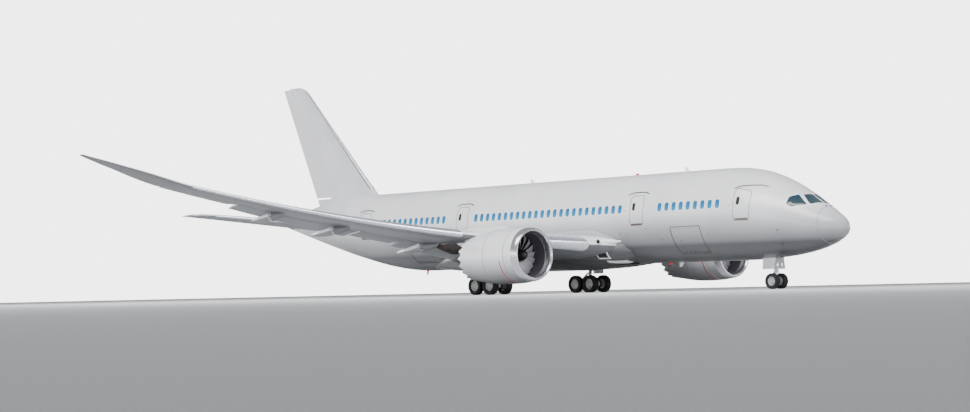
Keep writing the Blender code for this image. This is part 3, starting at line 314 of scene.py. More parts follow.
# Its bluish tint is a painted reflection of sky in the polished metal.
polished_edge_with_painted_sky = worn_metal("polished_aluminium_edge", "#E6E9F0", "#D4D8E2", 0.24, metallic=0.85)
lip_metal = worn_metal("spun_aluminium_lip", "#CFCFD4", "#BFBFC6", 0.22, grain_mm=(60, 500, 500), metallic=0.9)
hot_titanium = worn_metal("heat_tinted_titanium", "#4A4341", "#2E2A2B", 0.42, grain_mm=(200, 90, 90))
nozzle_alloy = worn_metal("nickel_alloy_nozzle", "#6E6A68", "#565250", 0.38, grain_mm=(200, 90, 90))
blade_composite = worn_metal("fan_blade_carbon_and_titanium", "#C4C0C8", "#AEAAB2", 0.4, grain_mm=(60, 60, 60),
                             metallic=0.3)
steel_piston = worn_metal("hard_chrome_piston", "#E3E5E8", "#D2D4D8", 0.1, grain_mm=(40, 40, 400))
dark_steel = worn_metal("forged_steel", "#6C6D70", "#56575A", 0.42, grain_mm=(90, 90, 90))
print(len(bpy.data.materials), "materials with the metals")

# %% [markdown]
# The engine's inlet is lined with a dark perforated sheet that swallows fan noise. Tyres are matt rubber with
# straight grooves round the tread. Sealant fills each seam in the skin. Glass is dark from outside, because
# the cabin and cockpit behind it are dim; the photograph's cabin windows are a clear blue.

# %% Liner, rubber, sealant and glass
def textured(name, plain, texture, settings, output, stops, **inputs):
    """A material whose colour follows one texture, by stops of (value, hex colour)."""
    material, tree, shader = principled(name, plain, **inputs)
    pattern = node(tree, texture, {"Vector": object_place(tree), **settings})
    tree.links.new(ramp(tree, pattern.outputs[output], stops), shader.inputs["Base Color"])
    return material


def reflection_graded_glass(name, plain, low_z, high_z, stops, **inputs):
    """Glass painted lighter low down and darker upwards: a painted reflection of the floor, which it mirrors less
    higher up.
    """
    material, tree, shader = principled(name, plain, **inputs)
    tree.links.new(ramp(tree, height_share(tree, low_z, high_z), stops), shader.inputs["Base Color"])
    return material


# Real holes are 1.5 mm across and 5 mm apart: drawn 40 mm apart so that they show as a texture.
inlet_liner = textured("perforated_liner", "#3A363E", "ShaderNodeTexVoronoi", {"Scale": 1000 / 40}, "Distance",
                       [(0.2, "#2B2830"), (0.5, "#3E3A43")], Roughness=0.55)
# Road dust lies on the black in soft clouds.
tyre_rubber = textured("tyre_rubber", "#1B1B1D", "ShaderNodeTexNoise", {"Scale": 9.0, "Detail": 5.0}, "Fac",
                       [(0.35, "#161618"), (0.7, "#262628")], Roughness=0.78)
# Dirt gathers in a seam unevenly, so its grey wanders.
seam_sealant = textured("grey_seam_sealant", "#8E8E95", "ShaderNodeTexNoise", {"Scale": 2.0, "Detail": 3.0}, "Fac",
                        [(0.3, "#85858D"), (0.7, "#9A9AA1")], Roughness=0.6)
# A lamp's glass has moulded ribs that spread its beam.
lamp_glass = textured("lamp_glass_red", "#E3252A", "ShaderNodeTexWave", {"Scale": 20.0}, "Fac",
                      [(0.0, "#D81F25"), (1.0, "#EE3A3C")], Roughness=0.12, Coat_Weight=0.4)
sill_metal = worn_metal("scuffed_sill_plate", "#7A6E69", "#62574F", 0.5, grain_mm=(300, 40, 40), metallic=0.5)
black_seal = worn_metal("black_rubber_seal", "#161618", "#0E0E10", 0.6, grain_mm=(80, 80, 80), metallic=0.0)
cabin_glass = reflection_graded_glass("cabin_window_blue", "#0079A8", 0.35, 0.84, [(0.0, "#0086B8"), (0.6, "#006EA2"),
                                                                  (1.0, "#005C8E")],
                     Roughness=0.3, Coat_Weight=0.1, IOR=1.45)
cockpit_glass = reflection_graded_glass("cockpit_glass_teal", "#1B3A48", 0.2, 0.95, [(0.0, "#3C4D52"), (0.55, "#2B4049"),
                                                                    (1.0, "#0B3347")],
                       Roughness=0.08, Coat_Weight=0.5, IOR=1.5)
print(len(bpy.data.materials), "materials")

# %% [markdown]
# ## How a skin is laid
#
# An aircraft's skin is lofted: cross-sections stand at known stations and the skin runs over them, as planks
# run over a ship's frames. In Blender that is a circle, extruded once for each section, and its points are then
# moved onto the sections. Ends are filled, and a ring such as an engine's cowl is joined to its own start.

# %% Loft, shade and cut
SAME_POINT = 1e-6


def in_edit_mode(*steps_taken):
    """Does some steps on the active object in edit mode, and comes back to object mode."""
    bpy.ops.object.mode_set(mode="EDIT")
    for step in steps_taken:
        step()
    bpy.ops.object.mode_set(mode="OBJECT")


def loft(name, sections, ends=True, ring=False):
    """A skin over sections that have the same number of points."""
    count = len(sections[0])
    piece = primitive(name, bpy.ops.mesh.primitive_circle_add, vertices=count)
    in_edit_mode(lambda: bpy.ops.mesh.select_all(action="SELECT"),
                 *[bpy.ops.mesh.extrude_edges_move for _ in sections[1:]])
    piece.data.vertices.foreach_set("co", [c for section in sections for point in section for c in point])
    first_ring = range(count)
    last_ring = range(len(piece.data.vertices) - count, len(piece.data.vertices))
    for end in (first_ring, last_ring) if ends else ():
        select_points(piece, end)
        in_edit_mode(bpy.ops.mesh.edge_face_add)
    if ring:
        select_points(piece, [*first_ring, *last_ring])
        in_edit_mode(bpy.ops.mesh.bridge_edge_loops)
    return tidy(piece)


def select_points(piece, chosen):
    """Selects some of a mesh's points and no others."""
    only(piece)
    in_edit_mode(lambda: bpy.ops.mesh.select_mode(type="VERT"), lambda: bpy.ops.mesh.select_all(action="DESELECT"))
    for index in chosen:
        piece.data.vertices[index].select = True


def tidy(piece):
    """Merges points that coincide and turns every face outwards."""
    only(piece)
    in_edit_mode(lambda: bpy.ops.mesh.select_all(action="SELECT"),
                 lambda: bpy.ops.mesh.remove_doubles(threshold=SAME_POINT),
                 lambda: bpy.ops.mesh.normals_make_consistent(inside=False))
    return piece


def smooth_over(piece, degrees=30):
    """Shades a piece smooth, but for edges sharper than an angle."""
    only(piece)
    bpy.ops.object.shade_smooth_by_angle(angle=math.radians(degrees))
    return piece


def apply_modifier(piece, kind, **settings):
    """Adds a modifier to a piece and makes what it does part of the mesh."""
    modifier = piece.modifiers.new(kind.lower(), kind)
    for key, value in settings.items():
        setattr(modifier, key, value)
    only(piece)
    bpy.ops.object.modifier_apply(modifier=modifier.name)
    return piece


def carve(piece, how, tool):
    """Cuts a piece by a tool, joins them or keeps what they share."""
    apply_modifier(piece, "BOOLEAN", operation=how, object=tool, solver="EXACT")
    bpy.data.objects.remove(tool)


def dress(piece, material, body="airframe", slot=None, instead_of=(), above=None):
    """Gives a finished piece its material, its body and the CAD nodes that it stands for; slot is not used."""
    piece.data.materials.clear()
    piece.data.materials.append(material)
    # Faces that face up take the second, lighter material: painted light on the top, painted shade on the faces
    # below.
    if above:
        piece.data.materials.append(above)
        for face in piece.data.polygons:
            face.material_index = 1 if face.normal.z > 0.05 else 0
    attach(piece, body)
    if instead_of:
        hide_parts(*instead_of)


# %% Curves given by a few points
def linear(curve, where):
    """Straight lines between the points of a curve."""
    for (x0, y0), (x1, y1) in zip(curve, curve[1:]):
        if where <= x1:
            return y0 + (y1 - y0) * max(0.0, where - x0) / (x1 - x0)
    return curve[-1][1]


def smooth(curve, where):
    """A smooth curve through the points that never overshoots them."""
    xs, ys = [x for x, y in curve], [y for x, y in curve]
    where = min(max(where, xs[0]), xs[-1])
    slopes = [(b - a) / (d - c) for a, b, c, d in zip(ys, ys[1:], xs, xs[1:])]
    leans = [slopes[0], *[0.0 if a * b <= 0 else 2 * a * b / (a + b) for a, b in zip(slopes, slopes[1:])],
             slopes[-1]]
    i = max(k for k in range(len(xs) - 1) if xs[k] <= where)
    span = xs[i + 1] - xs[i]
    t = (where - xs[i]) / span
    return (ys[i] * (2 * t ** 3 - 3 * t ** 2 + 1) + leans[i] * span * (t ** 3 - 2 * t ** 2 + t)
            + ys[i + 1] * (3 * t ** 2 - 2 * t ** 3) + leans[i + 1] * span * (t ** 3 - t ** 2))


def steps(start, end, size):
    """Evenly spaced values from start to end, no further apart than size."""
    count = max(1, math.ceil((end - start) / size - 1e-9))
    return [start + (end - start) * i / count for i in range(count + 1)]


# %% [markdown]
# ## Fuselage
#
# The fuselage is nearly a cylinder, 5.77 m wide and 5.97 m high, with a drooped nose and a tail that sweeps up
# so that it clears the runway at take-off. Three curves say it all: the crown line, the keel line and the half
# width. The section between them is an ellipse.

# %% Fuselage lines
CROWN = [(0, -1.08), (0.25, -0.62), (1, -0.1), (2, 0.55), (3, 1.2), (4, 1.78), (5, 2.25), (6, 2.6),
         (7, 2.82), (8, 2.94), (9.5, 2.985), (44, 2.985), (46, 2.96), (48, 2.86), (50, 2.66),
         (52, 2.32), (54, 1.8), (55.9, 1.3)]
KEEL = [(0, -1.32), (0.25, -1.65), (1, -2.05), (2, -2.4), (3, -2.62), (4, -2.77), (5, -2.87), (6, -2.94),
        (7.5, -2.985), (38.6, -2.985), (40, -2.9), (42, -2.65), (46, -1.82), (50, -0.8), (55.9, 0.85)]
HALF_WIDTH = [(0, 0.14), (0.25, 0.55), (1, 1.2), (2, 1.72), (3, 2.1), (4, 2.39), (5, 2.6), (6, 2.73),
              (7, 2.81), (9, 2.885), (38, 2.885), (40, 2.86), (42, 2.76), (44, 2.6), (46, 2.35),
              (48, 2.02), (50, 1.62), (52, 1.17), (54, 0.68), (55.9, 0.2)]
NOSE_ROUND = 0.25
HULL_SIDES = 96
TAIL_METAL = 54.7
HULL_END = 55.9


def hull_size(station):
    """Middle height, half height and half width of the fuselage at a station; the very nose is rounded off."""
    at = max(station, NOSE_ROUND)
    crown, keel, width = smooth(CROWN, at), smooth(KEEL, at), smooth(HALF_WIDTH, at)
    share = math.sqrt(max(station, 0.0) / NOSE_ROUND) if station < NOSE_ROUND else 1.0
    return (crown + keel) / 2, (crown - keel) / 2 * share, width * share


def hull_point(station, turn, out=0.0):
    """A point of the skin: turn is the angle from the crown towards port, out lifts it off the skin."""
    middle, half, width = hull_size(station)
    return place(station, (width + out) * math.sin(turn), middle + (half + out) * math.cos(turn))


def hull_section(station, out=0.0):
    """A ring of the skin, or of a shell out from it."""
    return [hull_point(station, math.tau * i / HULL_SIDES, out) for i in range(HULL_SIDES)]


HULL_STATIONS = [0.002, 0.012, 0.035, 0.08, 0.15, *steps(0.25, 3.4, 0.15), *steps(3.65, 10, 0.3),
                 *steps(10.8, 37, 0.8), *steps(37.4, TAIL_METAL, 0.4)]
hull = loft("fuselage_skin", [hull_section(station) for station in HULL_STATIONS])
print("fuselage skin", len(hull.data.polygons), "faces")

# %% [markdown]
# The holds and the nose gear's well are real holes in the skin, so they are cut from it with plain blocks. Each
# cargo door is then the piece of skin that was lost: a block a little smaller than the hole keeps what it shares
# with the outer skin, less what lies inside the inner one. The doors ride on their own bodies and open.

# %% Openings and cargo doors
RUNNING = 0.012
CARGO_DOORS = {"forward": (9.61, 12.09, -2.43, -0.78), "aft": (35.98, 38.05, -2.4, -1.0)}
HOLD_INNER, PAST_SKIN = 1.0, 4.0
DOOR_THICKNESS = 0.1
NOSE_WELL = (4.9, 6.5, 0.42, -2.35)
DOOR_KNUCKLE = 0.028


def box_between(name, low, high):
    """A cube stretched between two corners of the full-size aircraft."""
    a, b = place(*low), place(*high)
    return primitive(name, bpy.ops.mesh.primitive_cube_add, size=1, location=(a + b) / 2,
                     scale=[abs(v) for v in b - a])


def hull_side(station, z):
    """How far out the skin is at a height."""
    middle, half, width = hull_size(station)
    return width * math.sqrt(max(0.0, 1 - ((z - middle) / half) ** 2))


def rod(name, first, last, radius, sides=24):
    """A round bar between two points of the model; its radius is the full-size one."""
    along = last - first
    return primitive(name, bpy.ops.mesh.primitive_cylinder_add, vertices=sides, radius=radius * MODEL,
                     depth=along.length, location=(first + last) / 2,
                     rotation=along.to_track_quat("Z", "Y").to_euler())


for name, (start, end, bottom, top) in CARGO_DOORS.items():
    carve(hull, "DIFFERENCE", box_between("hold", (start, -PAST_SKIN, bottom), (end, -HOLD_INNER, top)))
    door = box_between(f"cargo_door_{name}_skin", (start + RUNNING, -PAST_SKIN, bottom + RUNNING),
                       (end - RUNNING, -HOLD_INNER, top - RUNNING))
    near = steps(start - 0.5, end + 0.5, 0.3)
    carve(door, "INTERSECT", loft("outer", [hull_section(s) for s in near]))
    carve(door, "DIFFERENCE", loft("inner", [hull_section(s, -DOOR_THICKNESS) for s in near]))
    hinge = [place(s, -max(hull_side(start, top), hull_side(end, top)), top) for s in (start, end)]
    ahead = Vector((RUNNING * MODEL, 0, 0))
    carve(hull, "DIFFERENCE", rod("groove", hinge[0], hinge[1], DOOR_KNUCKLE + RUNNING))
    carve(door, "UNION", rod("knuckle", hinge[0] - ahead, hinge[1] + ahead, DOOR_KNUCKLE))
    smooth_over(tidy(door))
    dress(door, belly_painted_shade, f"cargo_door_{name}_hinge_body", "white_paint", [f"cargo_door_{name}"])
    print(door.name, len(door.data.polygons), "faces")

well_start, well_end, well_half, well_top = NOSE_WELL
carve(hull, "DIFFERENCE", box_between("well", (well_start, -well_half, -PAST_SKIN),
                                      (well_end, well_half, well_top)))
smooth_over(hull)
# The skin's grey below is painted shade.
dress(hull, belly_painted_shade, slot="white_paint",
      instead_of=["radome", "fuselage_forward", "fuselage_centre", "fuselage_aft", "tail_cone"])

# %% [markdown]
# The last metre of the tail is bare metal: it is the exhaust of the small engine that makes power on the
# ground. Its end is inset and pushed in, which leaves the outlet's rim.

# %% Tail exhaust
TAIL_STATIONS = (TAIL_METAL, 54.72, 55.1, 55.5, 55.8, HULL_END)
TAIL_RIM, OUTLET_DEPTH = 0.015, 0.25

tail_end = loft("tail_exhaust", [hull_section(s) for s in TAIL_STATIONS])
only(tail_end)
in_edit_mode(lambda: bpy.ops.mesh.select_mode(type="FACE"), lambda: bpy.ops.mesh.select_all(action="DESELECT"))
aft_x = place(HULL_END, 0, 0).x
for face in tail_end.data.polygons:
    face.select = face.center.x < aft_x + 0.001
in_edit_mode(lambda: bpy.ops.mesh.inset(thickness=TAIL_RIM),
             lambda: bpy.ops.mesh.extrude_region_move(TRANSFORM_OT_translate={"value": (OUTLET_DEPTH, 0, 0)}))
smooth_over(tail_end)
dress(tail_end, nozzle_alloy, slot="white_paint")
print("tail exhaust at station", TAIL_METAL)

# %% [markdown]
# ## Things laid on the skin
#
# Windows, panes and sill plates are thin plates that follow the skin. Each is made like a shallow lid: its
# outline starts just inside the skin, comes up past it and closes over the middle. A seam or a rain gutter is
# a narrow tape laid point by point and given a little thickness.

# %% Plates and tapes
TAPE_THICKNESS = 0.004
LID = ((1.0, 0.7), (0.985, 1.0), (0.6, 1.0), (0.25, 1.0), (0.02, 1.0))


def spread(corners, count):
    """Points along a closed outline, evenly many on each edge."""
    return [(s0 + (s1 - s0) * i / count, a0 + (a1 - a0) * i / count)
            for (s0, a0), (s1, a1) in zip(corners, corners[1:] + corners[:1]) for i in range(count)]


def plate(name, outline, out, sink=0.01, skin=hull_point):
    """A thin lid on the skin: the outline is (station, angle from the crown in degrees, port positive)."""
    mid_s = sum(s for s, a in outline) / len(outline)
    mid_a = sum(a for s, a in outline) / len(outline)
    rings = [(1.0, -sink)] + [(share, out * height) for share, height in LID]
    return smooth_over(loft(name, [[skin(mid_s + (s - mid_s) * share, math.radians(mid_a + (a - mid_a) * share), lift)
                                    for s, a in outline] for share, lift in rings]), 40)


def tape(name, path, width, out=0.006, closed=False):
    """A narrow strip along a path of (station, degrees) on the skin."""
    path = [(s, math.radians(a)) for s, a in path]
    if closed:
        path = path + path[:1]
    piece = primitive(name, bpy.ops.mesh.primitive_grid_add, x_subdivisions=1, y_subdivisions=len(path) - 1)
    places = []
    for i, (s, a) in enumerate(path):
        before, after = path[max(i - 1, 0)], path[min(i + 1, len(path) - 1)]
        if closed and i in (0, len(path) - 1):
            before, after = path[-2], path[1]
        radius = hull_size(s)[2]
        run, climb = after[0] - before[0], (after[1] - before[1]) * radius
        length = math.hypot(run, climb) or 1.0
        for way in (-0.5, 0.5):
            places.extend(hull_point(s - climb / length * width * way, a + run / length * width * way / radius, out))
    piece.data.vertices.foreach_set("co", places)
    return tidy(apply_modifier(tidy(piece), "SOLIDIFY", thickness=TAPE_THICKNESS, offset=-1))


def angle_at(station, z):
    """The angle from the crown, in degrees, of the skin at a height."""
    middle, half, _ = hull_size(station)
    return math.degrees(math.acos(max(-1.0, min(1.0, (z - middle) / half))))


def squared(value, power):
    """A sine or cosine raised to a power that keeps its sign: below 1 it squares an oval's corners."""
    return math.copysign(abs(value) ** power, value)


def oblong(station, z, length, height, roundness=0.45, count=28):
    """A rounded oblong on the skin, as (station, degrees) on the port side."""
    turns = [math.tau * i / count for i in range(count)]
    return [(station + squared(math.cos(turn), roundness) * length / 2,
             angle_at(station, z + squared(math.sin(turn), roundness) * height / 2)) for turn in turns]


def sided(outline, side):
    """The same outline to port (1) or starboard (-1)."""
    return [(s, a * side) for s, a in outline]


def join(name, pieces):
    """Makes one piece of several."""
    bpy.ops.object.select_all(action="DESELECT")
    bpy.context.view_layer.objects.active = pieces[0]
    for piece in pieces:
        piece.select_set(True)
    if len(pieces) > 1:
        bpy.ops.object.join()
    pieces[0].name = name
    return pieces[0]


# %% [markdown]
# Each cargo opening has a dark rubber seal round its edge, and the door's foot carries a row of small latches.

# %% Seals and latches
for name, (start, end, bottom, top) in CARGO_DOORS.items():
    shares = [i / 12 for i in range(13)]
    path = [(start - 0.02, angle_at(start, bottom + (top - bottom) * share)) for share in shares]
    path += [(start + (end - start) * share, angle_at(start, top + 0.05)) for share in shares]
    path += [(end + 0.02, angle_at(end, top + (bottom - top) * share)) for share in shares]
    path += [(end + (start - end) * share, angle_at(end, bottom - 0.03)) for share in shares]
    seal = tape(f"hold_seal_{name}", sided(path, -1), 0.045, out=0.008)
    dress(seal, dark_steel, slot="dark_metal")
    stations = [start + 0.16 + (end - start - 0.32) * i / 6 for i in range(7)]
    latches = [plate("latch", sided(oblong(s, bottom + 0.09, 0.11, 0.07, 0.6, 16), -1), 0.02) for s in stations]
    dress(join(f"latches_{name}", latches), dark_steel, f"cargo_door_{name}_hinge_body", "dark_metal")
print("seals and latches on", len(CARGO_DOORS), "cargo doors")

# %% [markdown]
# ## Cockpit windows
#
# Two big panes a side wrap round the nose. The windscreen pane meets its twin on the centreline and the side
# pane rises to a point behind it. A brighter white surround carries them, and thin dark strips seal the joints.

# %% Cockpit panes and their surround
FRONT_PANE = [(2.62, 2.2), (2.76, 21.0), (2.18, 32.4), (2.04, 32.2), (1.78, 3.2)]
SIDE_PANE = [(2.94, 28.0), (3.28, 43.6), (3.25, 58.8), (2.92, 59.6), (2.29, 43.0), (2.24, 39.6)]
SURROUND = [(2.72, 0.0), (2.9, 20.5), (3.1, 29.0), (3.42, 42.5), (3.42, 60.5), (2.93, 62.8), (2.2, 45.8),
            (1.93, 35.0), (1.66, 0.0)]

for word, side in SIDES.items():
    surround = plate(f"cockpit_surround_{word}", sided(spread(SURROUND, 8), side), 0.004, sink=0.02)
    dress(surround, white_trim, slot="white_paint")
    for name, corners in (("windscreen", FRONT_PANE), ("side_window", SIDE_PANE)):
        pane = plate(f"{name}_{word}", sided(spread(corners, 8), side), 0.012, sink=0.01)
        dress(pane, cockpit_glass, slot="glass", instead_of=["cockpit_windows"])
        seal = tape(f"{name}_seal_{word}", sided(spread(corners, 8), side), 0.03, out=0.014, closed=True)
        dress(seal, black_seal, slot="glass")
print("cockpit panes laid")

# %% [markdown]
# ## Cabin windows
#
# The cabin windows are tall rounded oblongs a frame's pitch (0.61 m) apart, drawn a little larger than life so
# that they read at this distance. Only the doors break their line. Each has a white reveal round it.

# %% Rows of windows
WINDOW_PITCH = 0.61
WINDOW_MIDDLE = 0.6
WINDOW_SIZE, REVEAL_SIZE = (0.35, 0.56), (0.45, 0.66)
WINDOW_ROWS = [(8.05, 9), (16.45, 24), (33.9, 13)]

for word, side in SIDES.items():
    panes, reveals = [], []
    for first, count in WINDOW_ROWS:
        for number in range(count):
            station = first + number * WINDOW_PITCH
            reveal = oblong(station, WINDOW_MIDDLE, *REVEAL_SIZE, 0.6, 20)
            reveals.append(plate("reveal", sided(reveal, side), 0.003))
            glass = oblong(station, WINDOW_MIDDLE, *WINDOW_SIZE, 0.6, 20)
            panes.append(plate("pane", sided(glass, side), 0.007))
    dress(join(f"cabin_windows_{word}", panes), cabin_glass, slot="glass")
    dress(join(f"window_reveals_{word}", reveals), white_trim, slot="white_paint")
print(sum(count for first, count in WINDOW_ROWS), "windows a side")

# %% [markdown]
# ## Passenger doors
#
# Four doors a side. What shows is the thin gap round each, a small dark window high up towards the back, a
# scuffed plate where people step over the sill, and an arched gutter above that keeps rain off the doorway.

# %% Doors
PASSENGER_DOORS = [(5.6, 6.82, 4.72, 6.95), (14.38, 15.56, 14.05, 15.9), (31.35, 32.5, 30.98, 32.74),
                   (42.36, 43.62, 42.1, 43.9)]
DOOR_BOTTOM, DOOR_TOP = -0.5, 1.43
GUTTER_RISE = 0.16

for number, (start, end, gutter_start, gutter_end) in enumerate(PASSENGER_DOORS, 1):
    middle, tall = (start + end) / 2, DOOR_TOP - DOOR_BOTTOM
    outline = oblong(middle, (DOOR_TOP + DOOR_BOTTOM) / 2, end - start, tall, 0.25, 64)
    sill = spread([(station, angle_at(at, DOOR_BOTTOM + rise)) for station, at, rise in
                   ((start + 0.1, start, 0.12), (end - 0.1, end, 0.12), (end - 0.1, end, -0.02),
                    (start + 0.1, start, -0.02))], 5)
    gutter = []
    for share in [i / 14 for i in range(15)]:
        rise = GUTTER_RISE * (1 - (2 * share - 1) ** 4)
        station = gutter_start + (gutter_end - gutter_start) * share
        gutter.append((station, angle_at(station, DOOR_TOP + 0.06 + rise)))
    for word, side in SIDES.items():
        mark = f"{number}_{word}"
        gap = tape(f"door_gap_{mark}", sided(outline, side), 0.05, out=0.012, closed=True)
        dress(gap, seam_sealant, slot="white_paint")
        dress(plate(f"door_sill_{mark}", sided(sill, side), 0.012), sill_metal, slot="bare_metal")
        glass = oblong(end - 0.33, 0.72, 0.24, 0.5, 0.5, 24)
        dress(plate(f"door_window_{mark}", sided(glass, side), 0.01), black_seal, slot="glass")
        drip = tape(f"door_gutter_{mark}", sided(gutter, side), 0.05, out=0.035)
        dress(drip, hot_titanium, slot="white_paint")
print(len(PASSENGER_DOORS), "doors a side")

# %% [markdown]
# ## Wing-to-body fairing
#
# A big shallow tub covers the joint between wing and fuselage. It is a squarish oval that grows out of the
# belly, runs flat under the wing box and fades out behind it.

# %% Fairing
FAIRING = [(16.2, 2.0, -2.6, -1.6), (17.2, 2.8, -3.0, -0.75), (19.3, 3.3, -3.22, -0.12),
           (23, 3.5, -3.32, -0.3), (28, 3.5, -3.32, -0.5), (31.5, 3.2, -3.26, -0.95),
           (34, 2.6, -3.12, -1.6), (36.8, 1.2, -2.9, -2.4)]
FAIRING_CORNERS = 0.8


def columns(rows):
    """A table's rows as curves: one for each further column over the first."""
    return [[(row[0], value) for row, value in zip(rows, column)] for column in list(zip(*rows))[1:]]


fairing_curves = columns(FAIRING)


def fairing_point(station, turn, out=0.0):
    """A point of the fairing's squarish oval; turn is the angle from its top towards port."""
    half_width, bottom, top = [smooth(curve, station) for curve in fairing_curves]
    return place(station, (half_width + out) * squared(math.sin(turn), FAIRING_CORNERS),
                 (bottom + top) / 2 + ((top - bottom) / 2 + out) * squared(math.cos(turn), FAIRING_CORNERS))


def fairing_angle(station, z):
    """The turn, in degrees, at which the fairing's skin is at a height."""
    half_width, bottom, top = [smooth(curve, station) for curve in fairing_curves]
    up = max(-1.0, min(1.0, (z - (bottom + top) / 2) / ((top - bottom) / 2)))
    return math.degrees(math.acos(squared(up, 1 / FAIRING_CORNERS)))


def fairing_section(station, sides=72):
    """A ring of the fairing."""
    return [fairing_point(station, math.tau * i / sides) for i in range(sides)]


tub = loft("wing_body_fairing", [fairing_section(s) for s in steps(FAIRING[0][0], FAIRING[-1][0], 0.4)])
smooth_over(tub, 40)
dress(tub, belly_painted_shade, slot="white_paint", instead_of=["belly_fairing"])
print("fairing from station", FAIRING[0][0], "to", FAIRING[-1][0])

# %% [markdown]
# ## Wings
#
# The wing is swept, thin, and bent up towards its tip as it is in flight. Its section is the usual rounded nose
# and slim tail. Sections stand close together and are doubled where a slat, flap or aileron starts or ends, so
# that the fixed wing steps back there and leaves room for the moving piece.

# %% Wing lines
WING_LEADING = [(0, 15.15), (24.5, 31.964), (25.5, 32.65), (26.84, 33.45), (27.5, 34.0), (28.1, 34.75),
                (29.1, 36.35), (30.06, 38.3)]
WING_TRAILING = [(0, 28.85), (11, 29.7), (21.9, 33.85), (26.3, 36.25), (28.4, 37.35), (30.06, 38.9)]
WING_THICKNESS = [(2.9, 0.135), (10, 0.115), (20, 0.1), (30.06, 0.09)]
WING_TWIST = [(0, 3.5), (15, 0.5), (30.06, -1.0)]
WING_CUT = [(3.5, 0.815), (11, 0.75), (21.9, 0.71), (26, 0.7)]
WING_CAMBER = 0.014
WING_ROOT, WING_TIP, BENT_TIP = 1.2, 30.06, 25.5
WING_SIDE, ROOT_HEIGHT, DIHEDRAL, BEND, TIP_RISE = 2.9, -1.75, 0.0676, 0.005367, 0.75
FLAPS = {"inboard": (3.62, 11.3, 16.0), "outboard": (14.42, 21.85, 16.0)}
AILERONS = {"flaperon": (11.45, 14.2, 12.0), "aileron": (22.0, 25.9, 2.0)}
SLATS = {"inboard": (4.2, 8.1), "outboard": (11.1, 25.5)}
SLAT_CUT = (0.1, 0.05)
COVE_LIP = 0.035
COVES = [(3.55, 11.37), (14.2, 21.92)]
WALLS = [(11.39, 14.19), (21.94, 25.96)]
UPPER_NOSE = (0.07, 0.045, 0.025, 0.012, 0.004)
LOWER_NOSE = (0.003, 0.01, 0.02, 0.034)
TAIL_SHARES = (0.0, 0.35, 0.7)
SLAT_GAP, FLAP_CLEAR, NOSE_CLEAR = 0.004, 0.026, 0.0192


def profile_height(fraction):
    """Half thickness of the section, as a share of its full thickness."""
    f = fraction
    return 5 * (0.2969 * math.sqrt(f) - 0.126 * f - 0.3516 * f * f + 0.2843 * f ** 3 - 0.1036 * f ** 4) + 0.012 * f


